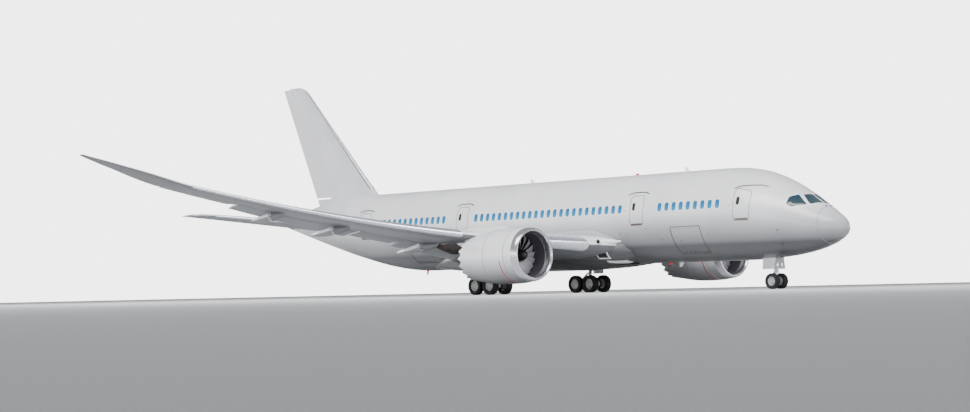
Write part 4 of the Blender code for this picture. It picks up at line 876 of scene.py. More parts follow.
class Surface:
    """A wing-like surface: its outline, thickness, rear cut and where its span runs."""

    def __init__(self, leading, trailing, thickness, cut, where, camber=0.0, twist=((0, 0.0), (1, 0.0))):
        self.leading, self.trailing, self.thickness, self.cut = leading, trailing, thickness, cut
        self.where, self.camber, self.twist = where, camber, twist

    def edges(self, span):
        front = smooth(self.leading, span)
        return front, linear(self.trailing, span) - front

    def point(self, span, fraction, side, extra=0.0):
        """A point of the skin: side is 1 above, -1 below and 0 between; extra lifts it."""
        front, chord = self.edges(span)
        lift = self.camber * 4 * fraction * (1 - fraction) * chord
        lift += side * linear(self.thickness, span) * chord * profile_height(fraction)
        lift -= fraction * chord * math.sin(math.radians(linear(self.twist, span)))
        return self.where(span, front + fraction * chord, lift + extra)

    def section(self, span, slat=False, rear=None):
        """The fixed section: its nose drawn back behind a slat, its tail drawn in ahead of a flap."""
        cut = linear(self.cut, span)
        top = cut + (COVE_LIP if rear == "cove" else 0.0)
        roof, foot = self.point(span, top, 1), self.point(span, cut, -1)
        points = [foot.lerp(roof, 0.5 + share / 2) if rear else self.point(span, 1.0 + (top - 1.0) * share, 1)
                  for share in TAIL_SHARES]
        points += [self.point(span, SLAT_CUT[0] + (top - SLAT_CUT[0]) * k / 7, 1) for k in range(7, -1, -1)]
        if slat:
            high, low = self.point(span, SLAT_CUT[0], 1), self.point(span, SLAT_CUT[1], -1)
            count = len(UPPER_NOSE) + 1 + len(LOWER_NOSE)
            points += [high.lerp(low, (k + 1) / (count + 1)) for k in range(count)]
        else:
            points += [self.point(span, f, 1) for f in UPPER_NOSE] + [self.point(span, 0.0, 0)]
            points += [self.point(span, f, -1) for f in LOWER_NOSE]
        points += [self.point(span, SLAT_CUT[1] + (cut - SLAT_CUT[1]) * k / 8, -1) for k in range(9)]
        points += [foot.lerp(roof, 0.48 - share / 2) if rear else self.point(span, 1.0 + (cut - 1.0) * share, -1)
                   for share in reversed(TAIL_SHARES)]
        return points

    def slat_section(self, span):
        """A slat: the nose ahead of the cut, laid a little proud of the skin."""
        gap = SLAT_GAP / self.edges(span)[1]
        lower = [SLAT_CUT[1] - gap, *reversed(LOWER_NOSE)]
        upper = [*reversed(UPPER_NOSE), SLAT_CUT[0] - gap]
        points = [self.point(span, f, -1, -SLAT_GAP) for f in lower] + [self.point(span, 0.0, 0)]
        return points + [self.point(span, f, 1, SLAT_GAP) for f in upper]

    def flap_section(self, span):
        """A flap's section, its slanting front under the wing's lip."""
        cut = linear(self.cut, span)
        low = cut + FLAP_CLEAR / self.edges(span)[1]
        front = low + COVE_LIP
        roof, foot = self.point(span, cut + COVE_LIP, 1), self.point(span, cut, -1)
        upper = [self.point(span, 1.0 + (front + 0.02 - 1.0) * k / 6, 1) for k in range(7)]
        nose = [roof.lerp(foot, share) - Vector((FLAP_CLEAR * MODEL, 0, 0)) for share in (0.1, 0.25, 0.5, 0.75, 0.9)]
        lower = [self.point(span, low + 0.02 + (1.0 - low - 0.02) * k / 6, -1) for k in range(7)]
        return upper + nose + lower

    def control_section(self, span):
        """A control surface: a round nose about its hinge, and a straight taper aft."""
        chord = self.edges(span)[1]
        cut, thick = linear(self.cut, span), linear(self.thickness, span) * chord
        fraction = cut + (thick * profile_height(cut) + NOSE_CLEAR) / chord
        radius = thick * profile_height(fraction)
        nose = [self.point(span, fraction - radius * math.cos(turn) / chord, 0, radius * math.sin(turn))
                for turn in [math.radians(90 - 15 * k) for k in range(13)]]
        return [self.point(span, 1.0, 1)] + nose + [self.point(span, 1.0, -1)]


def fixed_sections(surface, spans, slats=(), coves=(), walls=()):
    """Sections of the fixed part, doubled where something starts or ends."""
    marks = sorted(set(spans) | {end for pair in [*slats, *coves, *walls] for end in pair})
    sections = []
    for start, end in zip(marks, marks[1:]):
        mid = (start + end) / 2
        slat = any(a < mid < b for a, b in slats)
        rear = "cove" if any(a < mid < b for a, b in coves) else None
        rear = "wall" if any(a < mid < b for a, b in walls) else rear
        for span in (start, end):
            section = surface.section(span, slat, rear)
            if not sections or any((p - q).length > 1e-7 for p, q in zip(section, sections[-1])):
                sections.append(section)
    return sections


def wing_height(span):
    """The bent wing's leading edge, above the centreline."""
    out = span - WING_SIDE
    tip = max(0.0, span - BENT_TIP) / (WING_TIP - BENT_TIP)
    return ROOT_HEIGHT + DIHEDRAL * out + BEND * out * out + TIP_RISE * tip * tip


def turned_about(points, joint, degrees):
    """Points turned about a joint of the model: a positive angle drops what lies aft of it."""
    pivot, axis = Vector(joint["pos_m"]), Vector(joint["axis"])
    turn = Matrix.Translation(pivot) @ Matrix.Rotation(math.radians(degrees), 4, axis) @ Matrix.Translation(-pivot)
    return [turn @ point for point in points]


print("the wing's tip stands", round(wing_height(WING_TIP) - wing_height(WING_SIDE), 2), "m above its root")

# %% [markdown]
# Slats along the front are polished metal. Flaps are slung below the trailing edge on hinges that hide in
# canoe-shaped fairings: half of each fairing belongs to the wing, half goes down with the flap. The CAD's flap
# is modelled level and then lowered about its own hinge, and this one is lowered the same way.

# %% Wing, slats, flaps and ailerons
CANOES = {"inboard": [(10.1, 1.0)], "outboard": [(15.9, 0.92), (19.8, 0.8)]}
CANOE_SINK = 0.06
# Rows of a track fairing: metres aft of the cove, whether that grows with the track's size, half width, depth.
CANOE_FIXED = ((-1.75, True, 0.03, 0.04), (-1.3, True, 0.15, 0.3), (-0.6, True, 0.19, 0.48), (-0.2, False, 0.2, 0.55))
CANOE_MOVING = ((0.16, False, 0.2, 0.55), (0.8, True, 0.19, 0.5), (1.7, True, 0.12, 0.34), (2.5, True, 0.02, 0.08))
EAR_APART, EAR_REACH = 0.0725, 0.38
EAR_RADIUS, LUG_RADIUS, PIN_RADIUS = 0.035, 0.038, 0.015


def canoe(surface, span, rows, size, sides=20):
    """Oval sections of a track fairing that hangs below the skin; size is the track's."""
    start, chord = linear(surface.cut, span) + 0.02, surface.edges(span)[1]
    widths, depths = columns([(start + along * (size if grows else 1.0) / chord, half_width, depth)
                              for along, grows, half_width, depth in rows])
    first, last = widths[0][0], widths[-1][0]
    turns = [math.tau * i / sides for i in range(sides)]
    sections = []
    for fraction in steps(first, last, (last - first) / 9):
        half_width, tall = smooth(widths, fraction), (smooth(depths, fraction) + CANOE_SINK) / 2
        behind = max(0.0, fraction - 1.0) * chord
        centre = surface.point(span, min(fraction, 1.0), -1) + Vector((-behind, 0, CANOE_SINK - tall)) * MODEL
        sections.append([centre + Vector((0, half_width * math.sin(turn), tall * math.cos(turn))) * MODEL
                         for turn in turns])
    return sections


for word, side in SIDES.items():
    wing_lines = Surface(WING_LEADING, WING_TRAILING, WING_THICKNESS, WING_CUT,
                         lambda span, station, lift, side=side: place(station, side * span, wing_height(span) + lift),
                         WING_CAMBER, WING_TWIST)
    spans = [*steps(WING_ROOT, BENT_TIP, 0.9), *steps(BENT_TIP, 27.5, 0.4), *steps(27.5, 30.0, 0.25), WING_TIP]
    wing = loft(f"wing_skin_{word}", fixed_sections(wing_lines, spans, SLATS.values(), COVES, WALLS))
    smooth_over(wing, 28)
    # White where the wing faces up and dark grey where it faces down: painted light on top, grey paint darkened as
    # painted shade below.
    dress(wing, wing_grey_and_painted_shade, slot="grey_paint", instead_of=[f"wing_{word}"], above=white_topcoat)
    for name, (start, end) in SLATS.items():
        slat = loft(f"slat_{name}_skin_{word}",
                    [wing_lines.slat_section(s) for s in steps(start + 0.002, end - 0.002, 0.9)])
        smooth_over(slat, 28)
        dress(slat, polished_edge_with_painted_sky, slot="bare_metal", instead_of=[f"slat_{name}_{word}"])
    fixed_canoes = []
    for name, (start, end, droop) in FLAPS.items():
        joint = JOINTS[f"flap_{name}_hinge_{word}"]
        flap = loft(f"flap_{name}_skin_{word}", [turned_about(wing_lines.flap_section(s), joint, droop)
                                                 for s in steps(start, end, 0.9)])
        parts = [flap]
        for span, size in CANOES[name]:
            fixed_canoes.append(loft("canoe", canoe(wing_lines, span, CANOE_FIXED, size)))
            axis = Vector(joint["axis"])
            pin = Vector(joint["pos_m"]) + axis * ((side * span * MODEL - joint["pos_m"][1]) / axis.y)
            ahead = (Vector((1, 0, 0)) - axis * axis.x).normalized() * EAR_REACH * MODEL
            for way in (1, -1):
                foot = pin + axis * way * EAR_APART * MODEL
                fixed_canoes.append(rod("ear", foot - ahead * 0.1, foot + ahead, EAR_RADIUS, 12))
            parts.append(rod("lug", pin + ahead * 0.1, pin - ahead, LUG_RADIUS, 12))
            parts.append(rod("pin", pin - axis * 0.045, pin + axis * 0.045, PIN_RADIUS, 12))
            moving = [turned_about(ring, joint, droop) for ring in canoe(wing_lines, span, CANOE_MOVING, size)]
            parts.append(loft("canoe_tail", moving))
        whole = smooth_over(join(flap.name, parts), 32)
        # The flap's up-facing faces are bright white, a painted highlight; its grey below is partly painted shade.
        dress(whole, flap_grey_and_painted_shade, f"flap_{name}_hinge_{word}_body", "grey_paint", [f"flap_{name}_{word}"], white_trim)
    dress(smooth_over(join(f"track_fairings_{word}", fixed_canoes), 32), wing_grey_and_painted_shade, slot="grey_paint")
    for name, (start, end, droop) in AILERONS.items():
        joint = JOINTS[f"{name}_hinge_{word}"]
        piece = loft(f"{name}_skin_{word}", [turned_about(wing_lines.control_section(s), joint, droop)
                                             for s in steps(start, end, 0.7)])
        smooth_over(piece, 32)
        # Up-facing faces bright white, a painted highlight; the grey below partly painted shade.
        dress(piece, flap_grey_and_painted_shade, f"{name}_hinge_{word}_body", "grey_paint", [f"{name}_{word}"], white_trim)
    print(word, "wing", len(wing.data.polygons), "faces")

# %% [markdown]
# ## Tail
#
# Fin and stabilisers are built like the wing, with straight tapers and a symmetrical section. The fin's leading
# edge is bare metal, and so are the stabilisers': paint would not last there.

# %% Fin, rudder, stabilisers and elevators
FIN_LEADING = [(1.2, 42.6), (3.0, 44.5), (4.35, 45.9), (5.5, 47.026), (10.5, 51.919), (11.4, 52.8), (11.8, 53.3),
               (12.03, 54.0)]
FIN_TRAILING = [(1.2, 51.2), (2.3, 51.7), (12.03, 56.15)]
FIN_THICKNESS = [(1.2, 0.1), (12.03, 0.09)]
FIN_CUT = [(1.2, 0.745), (2.5, 0.745), (12.03, 0.63)]
RUDDER = (3.05, 11.95)
FIN_TOP = 12.03
STAB_LEADING = [(0, 44.8), (8.5, 52.386), (9.3, 53.1), (9.75, 53.8), (9.9, 54.9)]
STAB_TRAILING = [(0, 51.6), (9.9, 56.65)]
STAB_THICKNESS = [(0, 0.1), (9.9, 0.085)]
STAB_CUT = [(0, 0.72), (9.3, 0.7), (9.9, 0.7)]
STAB_ROOT_Z, STAB_DIHEDRAL = 0.42, math.tan(math.radians(7.5))
ELEVATOR = (2.75, 9.3)
TAIL_GAP = 0.12

fin_lines = Surface(FIN_LEADING, FIN_TRAILING, FIN_THICKNESS, FIN_CUT,
                    lambda span, station, lift: place(station, lift, span))
spans = [*steps(1.2, 11.4, 0.8), *steps(11.4, FIN_TOP, 0.08)]
fin = loft("fin_skin", fixed_sections(fin_lines, spans, walls=[(RUDDER[0] - TAIL_GAP, FIN_TOP)]))
# Fin and rudder take the darker fin paint, which is painted shade.
dress(smooth_over(fin, 28), fin_painted_shade_topcoat, slot="white_paint", instead_of=["fin"])
rudder = loft("rudder_skin", [fin_lines.control_section(s) for s in steps(*RUDDER, 0.8)])
dress(smooth_over(rudder, 32), fin_painted_shade_topcoat, "rudder_hinge_body", "white_paint", ["rudder"])
edge = loft("fin_leading_edge", [fin_lines.slat_section(s) for s in steps(3.4, 11.6, 0.6)])
dress(smooth_over(edge, 28), polished_edge_with_painted_sky, slot="bare_metal")

for word, side in SIDES.items():
    stab_lines = Surface(STAB_LEADING, STAB_TRAILING, STAB_THICKNESS, STAB_CUT,
                         lambda span, station, lift, side=side: place(station, side * span,
                                                                     STAB_ROOT_Z + span * STAB_DIHEDRAL + lift))
    spans = [*steps(0.4, 9.3, 0.8), *steps(9.3, 9.9, 0.1)]
    stabiliser = loft(f"stabiliser_skin_{word}",
                      fixed_sections(stab_lines, spans, walls=[(ELEVATOR[0] - TAIL_GAP, ELEVATOR[1] + TAIL_GAP)]))
    # White where the stabiliser and elevator face up, grey where they face down: painted light on top and painted
    # shade below.
    dress(smooth_over(stabiliser, 28), flap_grey_and_painted_shade, slot="white_paint", instead_of=[f"stabiliser_{word}"],
          above=white_topcoat)
    elevator = loft(f"elevator_skin_{word}", [stab_lines.control_section(s) for s in steps(*ELEVATOR, 0.8)])
    dress(smooth_over(elevator, 32), flap_grey_and_painted_shade, f"elevator_hinge_{word}_body", "white_paint",
          [f"elevator_{word}"], white_topcoat)
    edge = loft(f"stabiliser_edge_{word}", [stab_lines.slat_section(s) for s in steps(2.0, 9.6, 0.6)])
    dress(smooth_over(edge, 28), polished_edge_with_painted_sky, slot="bare_metal")
print("tail laid")

# %% [markdown]
# ## Engines
#
# A turbofan from outside is three rings and a cone. The polished lip leads, the white cowl follows and ends in
# saw-tooth chevrons that quieten the exhaust, and a dark core comes out of the back with a plug in its middle.
# All of it is turned about the engine's own axis, which points a little nose-up.

# %% Turned shapes
ENGINE_Y, INLET_STATION, ENGINE_Z, ENGINE_PITCH = 9.8, 17.4, -2.3, math.radians(1.5)
ENGINE_SIDES = 96


def engine_axes(side):
    """The middle of the inlet, and the directions aft, up and across."""
    aft = Vector((-math.cos(ENGINE_PITCH), 0, -math.sin(ENGINE_PITCH)))
    up = Vector((-math.sin(ENGINE_PITCH), 0, math.cos(ENGINE_PITCH)))
    return place(INLET_STATION, side * ENGINE_Y, ENGINE_Z), aft, up, aft.cross(up)


def turned(name, profile, axes, sides=ENGINE_SIDES, ring=False, shift=None):
    """A profile of (distance aft, radius) turned about an axis; shift moves a ring's points along it."""
    centre, aft, up, across = axes
    rays = [up * math.cos(math.tau * i / sides) + across * math.sin(math.tau * i / sides) for i in range(sides)]
    sections = [[centre + (aft * (along + (shift(index, i) if shift else 0.0)) + ray * max(radius, 0.002)) * MODEL
                 for i, ray in enumerate(rays)] for index, (along, radius) in enumerate(profile)]
    return loft(name, sections, ends=not ring, ring=ring)


def rounded(profile, size):
    """A smooth run of points through a profile of (distance, radius)."""
    return [(a, smooth(profile, a)) for a in steps(profile[0][0], profile[-1][0], size)]


print("engines", 2 * ENGINE_Y, "m apart, nose up by", round(math.degrees(ENGINE_PITCH), 1), "degrees")

# %% [markdown]
# The lip's nose is a true half-ellipse; a straight-sided one would catch the light in bands. The chevrons come
# from pushing points of the cowl's last rings aft, most at the middle of each tooth.

# %% Lip, cowl and liner
LIP_BACK = 0.5
NACELLE_OUTER = [(0.5, 1.745), (1.1, 1.81), (2.1, 1.83), (3.3, 1.78), (4.4, 1.64), (5.5, 1.43)]
NACELLE_INNER = [(0.5, 1.42), (1.5, 1.46), (3.0, 1.52), (4.4, 1.5), (5.5, 1.4)]
LIP_MIDDLE, LIP_OUTWARD, LIP_INWARD, LIP_BLUNT = 1.58, 0.165, -0.16, 0.9
TEETH, TOOTH_REACH, TOOTH_RINGS = 18, 0.32, 3
LINER = [(0.52, 1.415), *[(a, r - 0.006) for a, r in rounded(NACELLE_INNER, 0.4)][1:],
         (5.45, 1.41), (5.4, 1.43), (0.52, 1.44)]
COWL_LINES = ((1.12, 0.02, seam_sealant), (1.5, 0.035, stripe_red), (3.05, 0.02, seam_sealant))
STRIPE = 1

lip_profile = []
for turn in steps(-math.pi / 2, math.pi / 2, math.pi / 24):
    half = LIP_OUTWARD if turn < 0 else LIP_INWARD
    lip_profile.append((LIP_BACK * (1 - max(0.0, math.cos(turn)) ** LIP_BLUNT),
                        LIP_MIDDLE + half * abs(math.sin(turn)) ** LIP_BLUNT))
cowl_outside = rounded(NACELLE_OUTER, 0.25)
cowl_profile = cowl_outside + rounded(NACELLE_INNER, 0.5)[::-1]


def tooth(index, i):
    """How far aft a point of the cowl's last rings goes: most at a tooth's middle and at the rim."""
    last = len(cowl_outside) - 1
    rings = min(index, last) - (last - TOOTH_RINGS)
    if rings <= 0 or index > last + 1:
        return 0.0
    share = (i * TEETH / ENGINE_SIDES) % 1.0
    return TOOTH_REACH * (1 - abs(2 * share - 1)) * rings / TOOTH_RINGS


for word, side in SIDES.items():
    axes = engine_axes(side)
    lip = turned(f"lip_ring_{word}", lip_profile, axes, ring=True)
    dress(smooth_over(lip, 40), lip_metal, slot="bare_metal", instead_of=[f"inlet_lip_{word}"])
    cowl = turned(f"cowl_{word}", cowl_profile, axes, ring=True, shift=tooth)
    dress(smooth_over(cowl, 35), cowl_painted_shade, slot="white_paint", instead_of=[f"nacelle_{word}"])
    liner = turned(f"duct_liner_{word}", LINER, axes, ring=True)
    dress(smooth_over(liner, 40), inlet_liner, slot="dark_metal")
    for number, (along, half, material) in enumerate(COWL_LINES):
        radius = smooth(NACELLE_OUTER, along)
        band = turned(f"cowl_line_{number}_{word}", [(along - half, radius + 0.005), (along + half, radius + 0.005),
                                                     (along + half, radius - 0.01), (along - half, radius - 0.01)],
                      axes, ring=True)
        if number == STRIPE:  # the red line runs round the lower part only, so its top sinks into the cowl
            for point in band.data.vertices:
                out = point.co - axes[0]
                turn = math.atan2(out.dot(axes[3]), out.dot(axes[2]))
                if abs(turn) < math.radians(100):
                    point.co -= (out - axes[1] * out.dot(axes[1])).normalized() * 0.02
        dress(smooth_over(band, 40), material, slot="white_paint")
print("cowls done")

# %% [markdown]
# The fan has wide blades, twisted from nearly along the axis at the root to nearly across it at the tip, and
# swept in the middle. Each is lofted at its own turn about the axis. The spinner is a black cone.

# %% Fan, spinner, core and plug
FAN_FACE, FAN_BLADES = 1.35, 18
BLADE = [(0.38, 22, 0.34, 0.045), (0.6, 34, 0.42, 0.035), (0.9, 47, 0.5, 0.026), (1.15, 55, 0.54, 0.02),
         (1.392, 62, 0.52, 0.014)]
SPINNER = [(0.72, 0.0), (0.76, 0.07), (0.86, 0.18), (1.0, 0.28), (1.15, 0.35), (1.35, 0.42), (1.85, 0.46)]
CORE = [(1.9, 0.46), (2.3, 0.62), (3.2, 0.92), (4.6, 0.9), (5.7, 0.72), (6.5, 0.6)]
PLUG = [(5.96, 0.42), (6.4, 0.43), (7.0, 0.3), (7.6, 0.1), (7.9, 0.03)]


def blade_sections(axes, turn):
    """A fan blade's sections from root to tip, each bowed like a wing's."""
    centre, aft, up, across = axes
    outward = up * math.cos(turn) + across * math.sin(turn)
    sections = []
    for radius, pitch, chord, thick in BLADE:
        lean = math.radians(pitch)
        along = aft * math.cos(lean) + aft.cross(outward) * math.sin(lean)
        normal = along.cross(outward)
        sweep = 0.1 * math.sin(math.pi * (radius - 0.38) / 1.02)
        middle = centre + (aft * (FAN_FACE + 0.22 - sweep) + outward * radius) * MODEL
        section = []
        for k in range(16):
            angle = math.tau * k / 16
            bow = 0.045 * chord * math.sin(math.pi * (math.cos(angle) + 1) / 2)
            section.append(middle + (along * chord / 2 * math.cos(angle)
                                     + normal * (thick / 2 * math.sin(angle) + bow)) * MODEL)
        sections.append(section)
    return sections


for word, side in SIDES.items():
    axes = engine_axes(side)
    fan_body = f"fan_spin_{word}_body"
    turns = [math.tau * (number + 0.5) / FAN_BLADES for number in range(FAN_BLADES)]
    blades = [loft("blade", blade_sections(axes, turn)) for turn in turns]
    fan = smooth_over(join(f"fan_blades_{word}", blades), 50)
    dress(fan, blade_composite, fan_body, "dark_metal", [f"fan_{word}"])
    cone = turned(f"spinner_{word}", SPINNER, axes, 48)
    dress(smooth_over(cone, 45), spinner_black, fan_body, "dark_metal")
    core = turned(f"core_cowl_{word}", [(1.9, 0.44), *rounded(CORE, 0.3), (6.5, 0.57), (5.95, 0.66)], axes, 64)
    dress(smooth_over(core, 40), hot_titanium, slot="engine_metal")
    plug = turned(f"plug_{word}", rounded(PLUG, 0.2), axes, 48)
    dress(smooth_over(plug, 40), hot_titanium, slot="dark_metal", instead_of=[f"exhaust_plug_{word}"])
print(FAN_BLADES, "blades a fan")

# %% [markdown]
# ## Pylons
#
# The pylon is a slim lens-shaped beam that carries the engine under the wing. Its front is white; the part that
# sits over the exhaust is a bare titanium heat shield, darkened by the heat.

# %% Pylons and heat shields
PYLON = [(-2.05, 22.6, 25.2, 0.16), (-1.7, 21.0, 26.2, 0.24), (-1.35, 20.4, 27.0, 0.27),
         (-0.9, 20.0, 26.6, 0.27), (-0.62, 19.5, 25.0, 0.24), (-0.4, 20.0, 23.4, 0.14)]
SHIELD = [(-2.1, 23.4, 25.3, 0.15), (-1.9, 23.2, 26.0, 0.23), (-1.6, 23.2, 26.9, 0.27), (-1.4, 23.4, 27.1, 0.275)]


def lens_sections(rows, side, sides=32):
    """Level sections of a beam: rows are (height, front, back, half width)."""
    turns = [math.tau * i / sides for i in range(sides)]
    sections = []
    for z in steps(rows[0][0], rows[-1][0], 0.09):
        front, back, half_width = [smooth(curve, z) for curve in columns(rows)]
        sections.append([place(front + (back - front) * (1 - math.cos(turn)) / 2,
                               side * ENGINE_Y + half_width * squared(math.sin(turn), 0.6), z) for turn in turns])
    return sections


for word, side in SIDES.items():
    beam = loft(f"pylon_skin_{word}", lens_sections(PYLON, side))
    dress(smooth_over(beam, 40), white_topcoat, slot="white_paint", instead_of=[f"pylon_{word}"])
    shield = loft(f"heat_shield_{word}", lens_sections(SHIELD, side))
    dress(smooth_over(shield, 40), hot_titanium, slot="engine_metal")
print("pylons done")

# %% [markdown]
# ## Landing gear
#
# Each tyre is turned from its section: a rounded tread with four straight grooves, a bulged sidewall and a bead
# that sits on an aluminium hub. The hub is dished and has holes for its tie bolts. The wheels roll, so the tyre
# and the hub ride on the body that rolls. A twin pair shares one body and one axle.

# %% Wheels
NOSE_TYRE, MAIN_TYRE = (0.508, 0.4), (0.635, 0.5)
NOSE_TWIN, MAIN_TWIN = 0.8, 1.3
WHEEL_FLAT = math.cos(math.pi / 18)
GROOVES = (-0.5, -0.17, 0.17, 0.5)
GROOVE = ((-0.05, 0.998), (-0.035, 0.972), (0.035, 0.972), (0.05, 0.998))
SIDEWALL = [(-0.6, 0.56), (-0.82, 0.62), (-0.97, 0.74), (-0.98, 0.83), (-0.9, 0.93), (-0.82, 0.97)]
TYRE = [*SIDEWALL, (-0.72, 0.99), *[(middle + a, r) for middle in GROOVES for a, r in GROOVE], (0.72, 0.99),
        *[(-a, r) for a, r in reversed(SIDEWALL)], (0.5, 0.52), (-0.5, 0.52)]
HUB = [(-0.5, 0.01), (-0.5, 0.2), (-0.3, 0.42), (-0.6, 0.55), (0.62, 0.57), (0.6, 0.53), (0.42, 0.5), (0.3, 0.42),
       (0.34, 0.26), (0.5, 0.2), (0.56, 0.17), (0.56, 0.01)]
BOLTS = 9
hub_paint = sprayed("wheel_hub_enamel", "#B9BBBD", "#ABADAF", roughness=0.35, patch_mm=120, peel_mm=8)


def wheel(name, joint, y_shift, radius, width, body, outward):
    """One tyre with its hub, about the joint's axis; the rolling radius is the CAD wheel's flat."""
    centre = Vector(joint["pos_m"]) + Vector((0, y_shift * MODEL, 0))
    axes = (centre, Vector((0, outward, 0)), Vector((0, 0, 1)), Vector((outward, 0, 0)))
    roll, half = radius * WHEEL_FLAT, width / 2
    tyre = turned(f"tyre_{name}", [(a * half, r * roll) for a, r in TYRE], axes, 64, ring=True)
    hub = turned(f"hub_{name}", [(a * half, r * roll) for a, r in HUB], axes, 48)
    bolts = []
    for turn in [math.tau * k / BOLTS for k in range(BOLTS)]:
        out = (axes[2] * math.cos(turn) + axes[3] * math.sin(turn)) * roll * 0.34
        middle = centre + (axes[1] * half * 0.33 + out) * MODEL
        bolts.append(rod("bolt", middle, middle + axes[1] * 0.03, 0.022 if radius > 0.55 else 0.018, 10))
    dress(smooth_over(tyre, 40), tyre_rubber, body, "rubber", [node_of_wheel(body)])
    dress(smooth_over(join(hub.name, [hub, *bolts]), 40), hub_paint, body, "rubber")


def node_of_wheel(body):
    """The CAD node that a rolling body shows."""
    if body.startswith("nose"):
        return "nose_wheels"
    return body.replace("main_wheel_roll_", "main_wheels_").replace("_body", "")


for name, joint in JOINTS.items():
    if "wheel_roll" not in name:
        continue
    (radius, width), twin = (NOSE_TYRE, NOSE_TWIN) if name.startswith("nose") else (MAIN_TYRE, MAIN_TWIN)
    for word, side in SIDES.items():
        wheel(f"{name}_{word}", joint, side * twin / 2, radius, width, f"{name}_body", side)
    centre = Vector(joint["pos_m"])
    reach = Vector((0, twin / 2 + 0.02, 0)) * MODEL
    dress(rod(f"axle_{name}", centre - reach, centre + reach, 0.07), steel_piston, f"{name}_body", "rubber")
print("wheels done")

# %% [markdown]
# A gear leg is a fat cylinder with a bright chromed piston sliding in it, a scissor link that stops the piston
# from turning, and folding stays. The CAD's legs are the right shape, so they stay; the bright piston, the
# scissor link, the brake packs and the taxi lamps are added.

# %% Leg details
def box_at(name, centre, size, turn=0.0):
    """A block of the given full-size dimensions about a point of the model, leaned about the y axis."""
    block = primitive(name, bpy.ops.mesh.primitive_cube_add, size=1, location=centre, rotation=(0, turn, 0),
                      scale=[v * MODEL for v in size])
    return apply_modifier(block, "BEVEL", width=min(size) * 0.12 * MODEL, segments=2)


def scissor(name, foot, knee_offsets, size, lean, **riding):
    """Two short links that meet at a knee, one leaned up and one down."""
    links = [box_at("link", foot + Vector(offset), size, math.radians(lean * way))
             for offset, way in zip(knee_offsets, (1, -1))]
    dress(join(name, links), gear_enamel, slot="gear_paint", **riding)


nose_axle = Vector(JOINTS["nose_wheel_roll"]["pos_m"])
steer = "nose_gear_steering_body"
piston = rod("nose_piston", nose_axle + Vector((0, 0, 0.09)), nose_axle + Vector((0, 0, 0.26)), 0.096)
dress(smooth_over(piston, 40), steel_piston, steer, "gear_paint")
scissor("nose_scissor", nose_axle, ((-0.13, 0, 0.13), (-0.13, 0, 0.24)), (0.34, 0.14, 0.05), 35, body=steer)
lamp_places = [place(5.52, way * 0.21, -3.32) for way in (1, -1)]
lamps = [rod("lamp", middle, middle + Vector((0.05, 0, 0)), 0.1) for middle in lamp_places]
dress(join("taxi_lamps", lamps), polished_edge_with_painted_sky, slot="gear_paint")
for word, side in SIDES.items():
    front = Vector(JOINTS[f"main_wheel_roll_front_{word}"]["pos_m"])
    rear = Vector(JOINTS[f"main_wheel_roll_rear_{word}"]["pos_m"])
    middle = (front + rear) / 2
    lean = Vector((0.09, 0, 1.0)).normalized()
    chrome = rod(f"main_piston_{word}", middle + lean * 0.09, middle + lean * 0.34, 0.137)
    dress(smooth_over(chrome, 40), steel_piston, slot="gear_paint")
    scissor(f"main_scissor_{word}", middle, ((-0.16, 0, 0.18), (-0.15, 0, 0.33)), (0.42, 0.16, 0.06), 38)
    brakes = []
    for axle in (front, rear):
        for way in (1, -1):
            start = axle + Vector((0, way * 0.17 * MODEL, 0))
            brakes.append(rod("brake", start, start + Vector((0, way * 0.16 * MODEL, 0)), 0.26, 32))
    dress(smooth_over(join(f"brakes_{word}", brakes), 40), dark_steel, slot="dark_metal")
print("leg details done")

# %% [markdown]
# ## Wing root
#
# Where the wing's front meets the body it is drawn forward into a pointed glove, painted white. It carries the
# landing light behind a clear oval, and just under it the fairing has a square inlet and two slots that feed
# the air conditioning.

# %% Glove, landing light and air inlets
# The inlet's recess and the slot are flat black plates on the fairing: painted shade for the dark inside of the
# openings.
AIR_INLETS = (("inlet_frame", -2.62, -1.98, (17.62, 18.5), white_trim, 0.015),
              ("inlet_recess", -2.54, -2.06, (17.72, 18.42), black_seal, 0.025),
              ("slot_edge", -2.86, -2.74, (16.9, 18.1), white_trim, 0.03),
              ("slot", -2.95, -2.86, (16.9, 18.1), black_seal, 0.02))
GLOVE = [(16.7, 2.95, 0.1, 0.04), (17.2, 3.1, 0.5, 0.16), (17.8, 3.25, 0.95, 0.28), (18.6, 3.45, 1.35, 0.36),
         (19.6, 3.65, 1.6, 0.34), (20.8, 3.75, 1.7, 0.2)]


def glove_section(side, station, sides=28):
    """An oval from inside the body out to the glove's edge; rows are (station, y, width, half height)."""
    y, wide, tall = [smooth(curve, station) for curve in columns(GLOVE)]
    rise = -1.5 - (station - GLOVE[0][0]) * 0.02
    turns = [math.tau * i / sides for i in range(sides)]
    return [place(station, side * (y - 0.5 + wide * 0.45 * (1 + math.cos(turn))), rise + tall * math.sin(turn))
            for turn in turns]


def dome(name, centre, size, material, segments, turn=0.0):
    """An egg-shaped lamp of full-size half lengths, turned about the vertical."""
    egg = primitive(name, bpy.ops.mesh.primitive_uv_sphere_add, segments=segments, ring_count=segments // 2,
                    radius=1, location=centre, rotation=(0, 0, turn), scale=[v * MODEL for v in size])
    dress(smooth_over(egg, 60), material, slot="glass")


for word, side in SIDES.items():
    glove = loft(f"root_glove_{word}", [glove_section(side, s) for s in steps(GLOVE[0][0], GLOVE[-1][0], 0.2)])
    dress(smooth_over(glove, 45), white_trim, slot="white_paint")
    for name, low, high, (start, end), material, lift in AIR_INLETS:
        corners = [(station, fairing_angle(station, z)) for station, z in
                   ((start, high), (end, high), (end, low), (start, low))]
        patch = plate(f"{name}_{word}", sided(spread(corners, 6), side), lift, skin=fairing_point)
        dress(patch, material, slot="white_paint")
    dome(f"landing_light_{word}", place(17.75, side * 3.62, -1.47), (0.3, 0.12, 0.15), black_seal, 32, side * 0.75)
print("wing roots done")

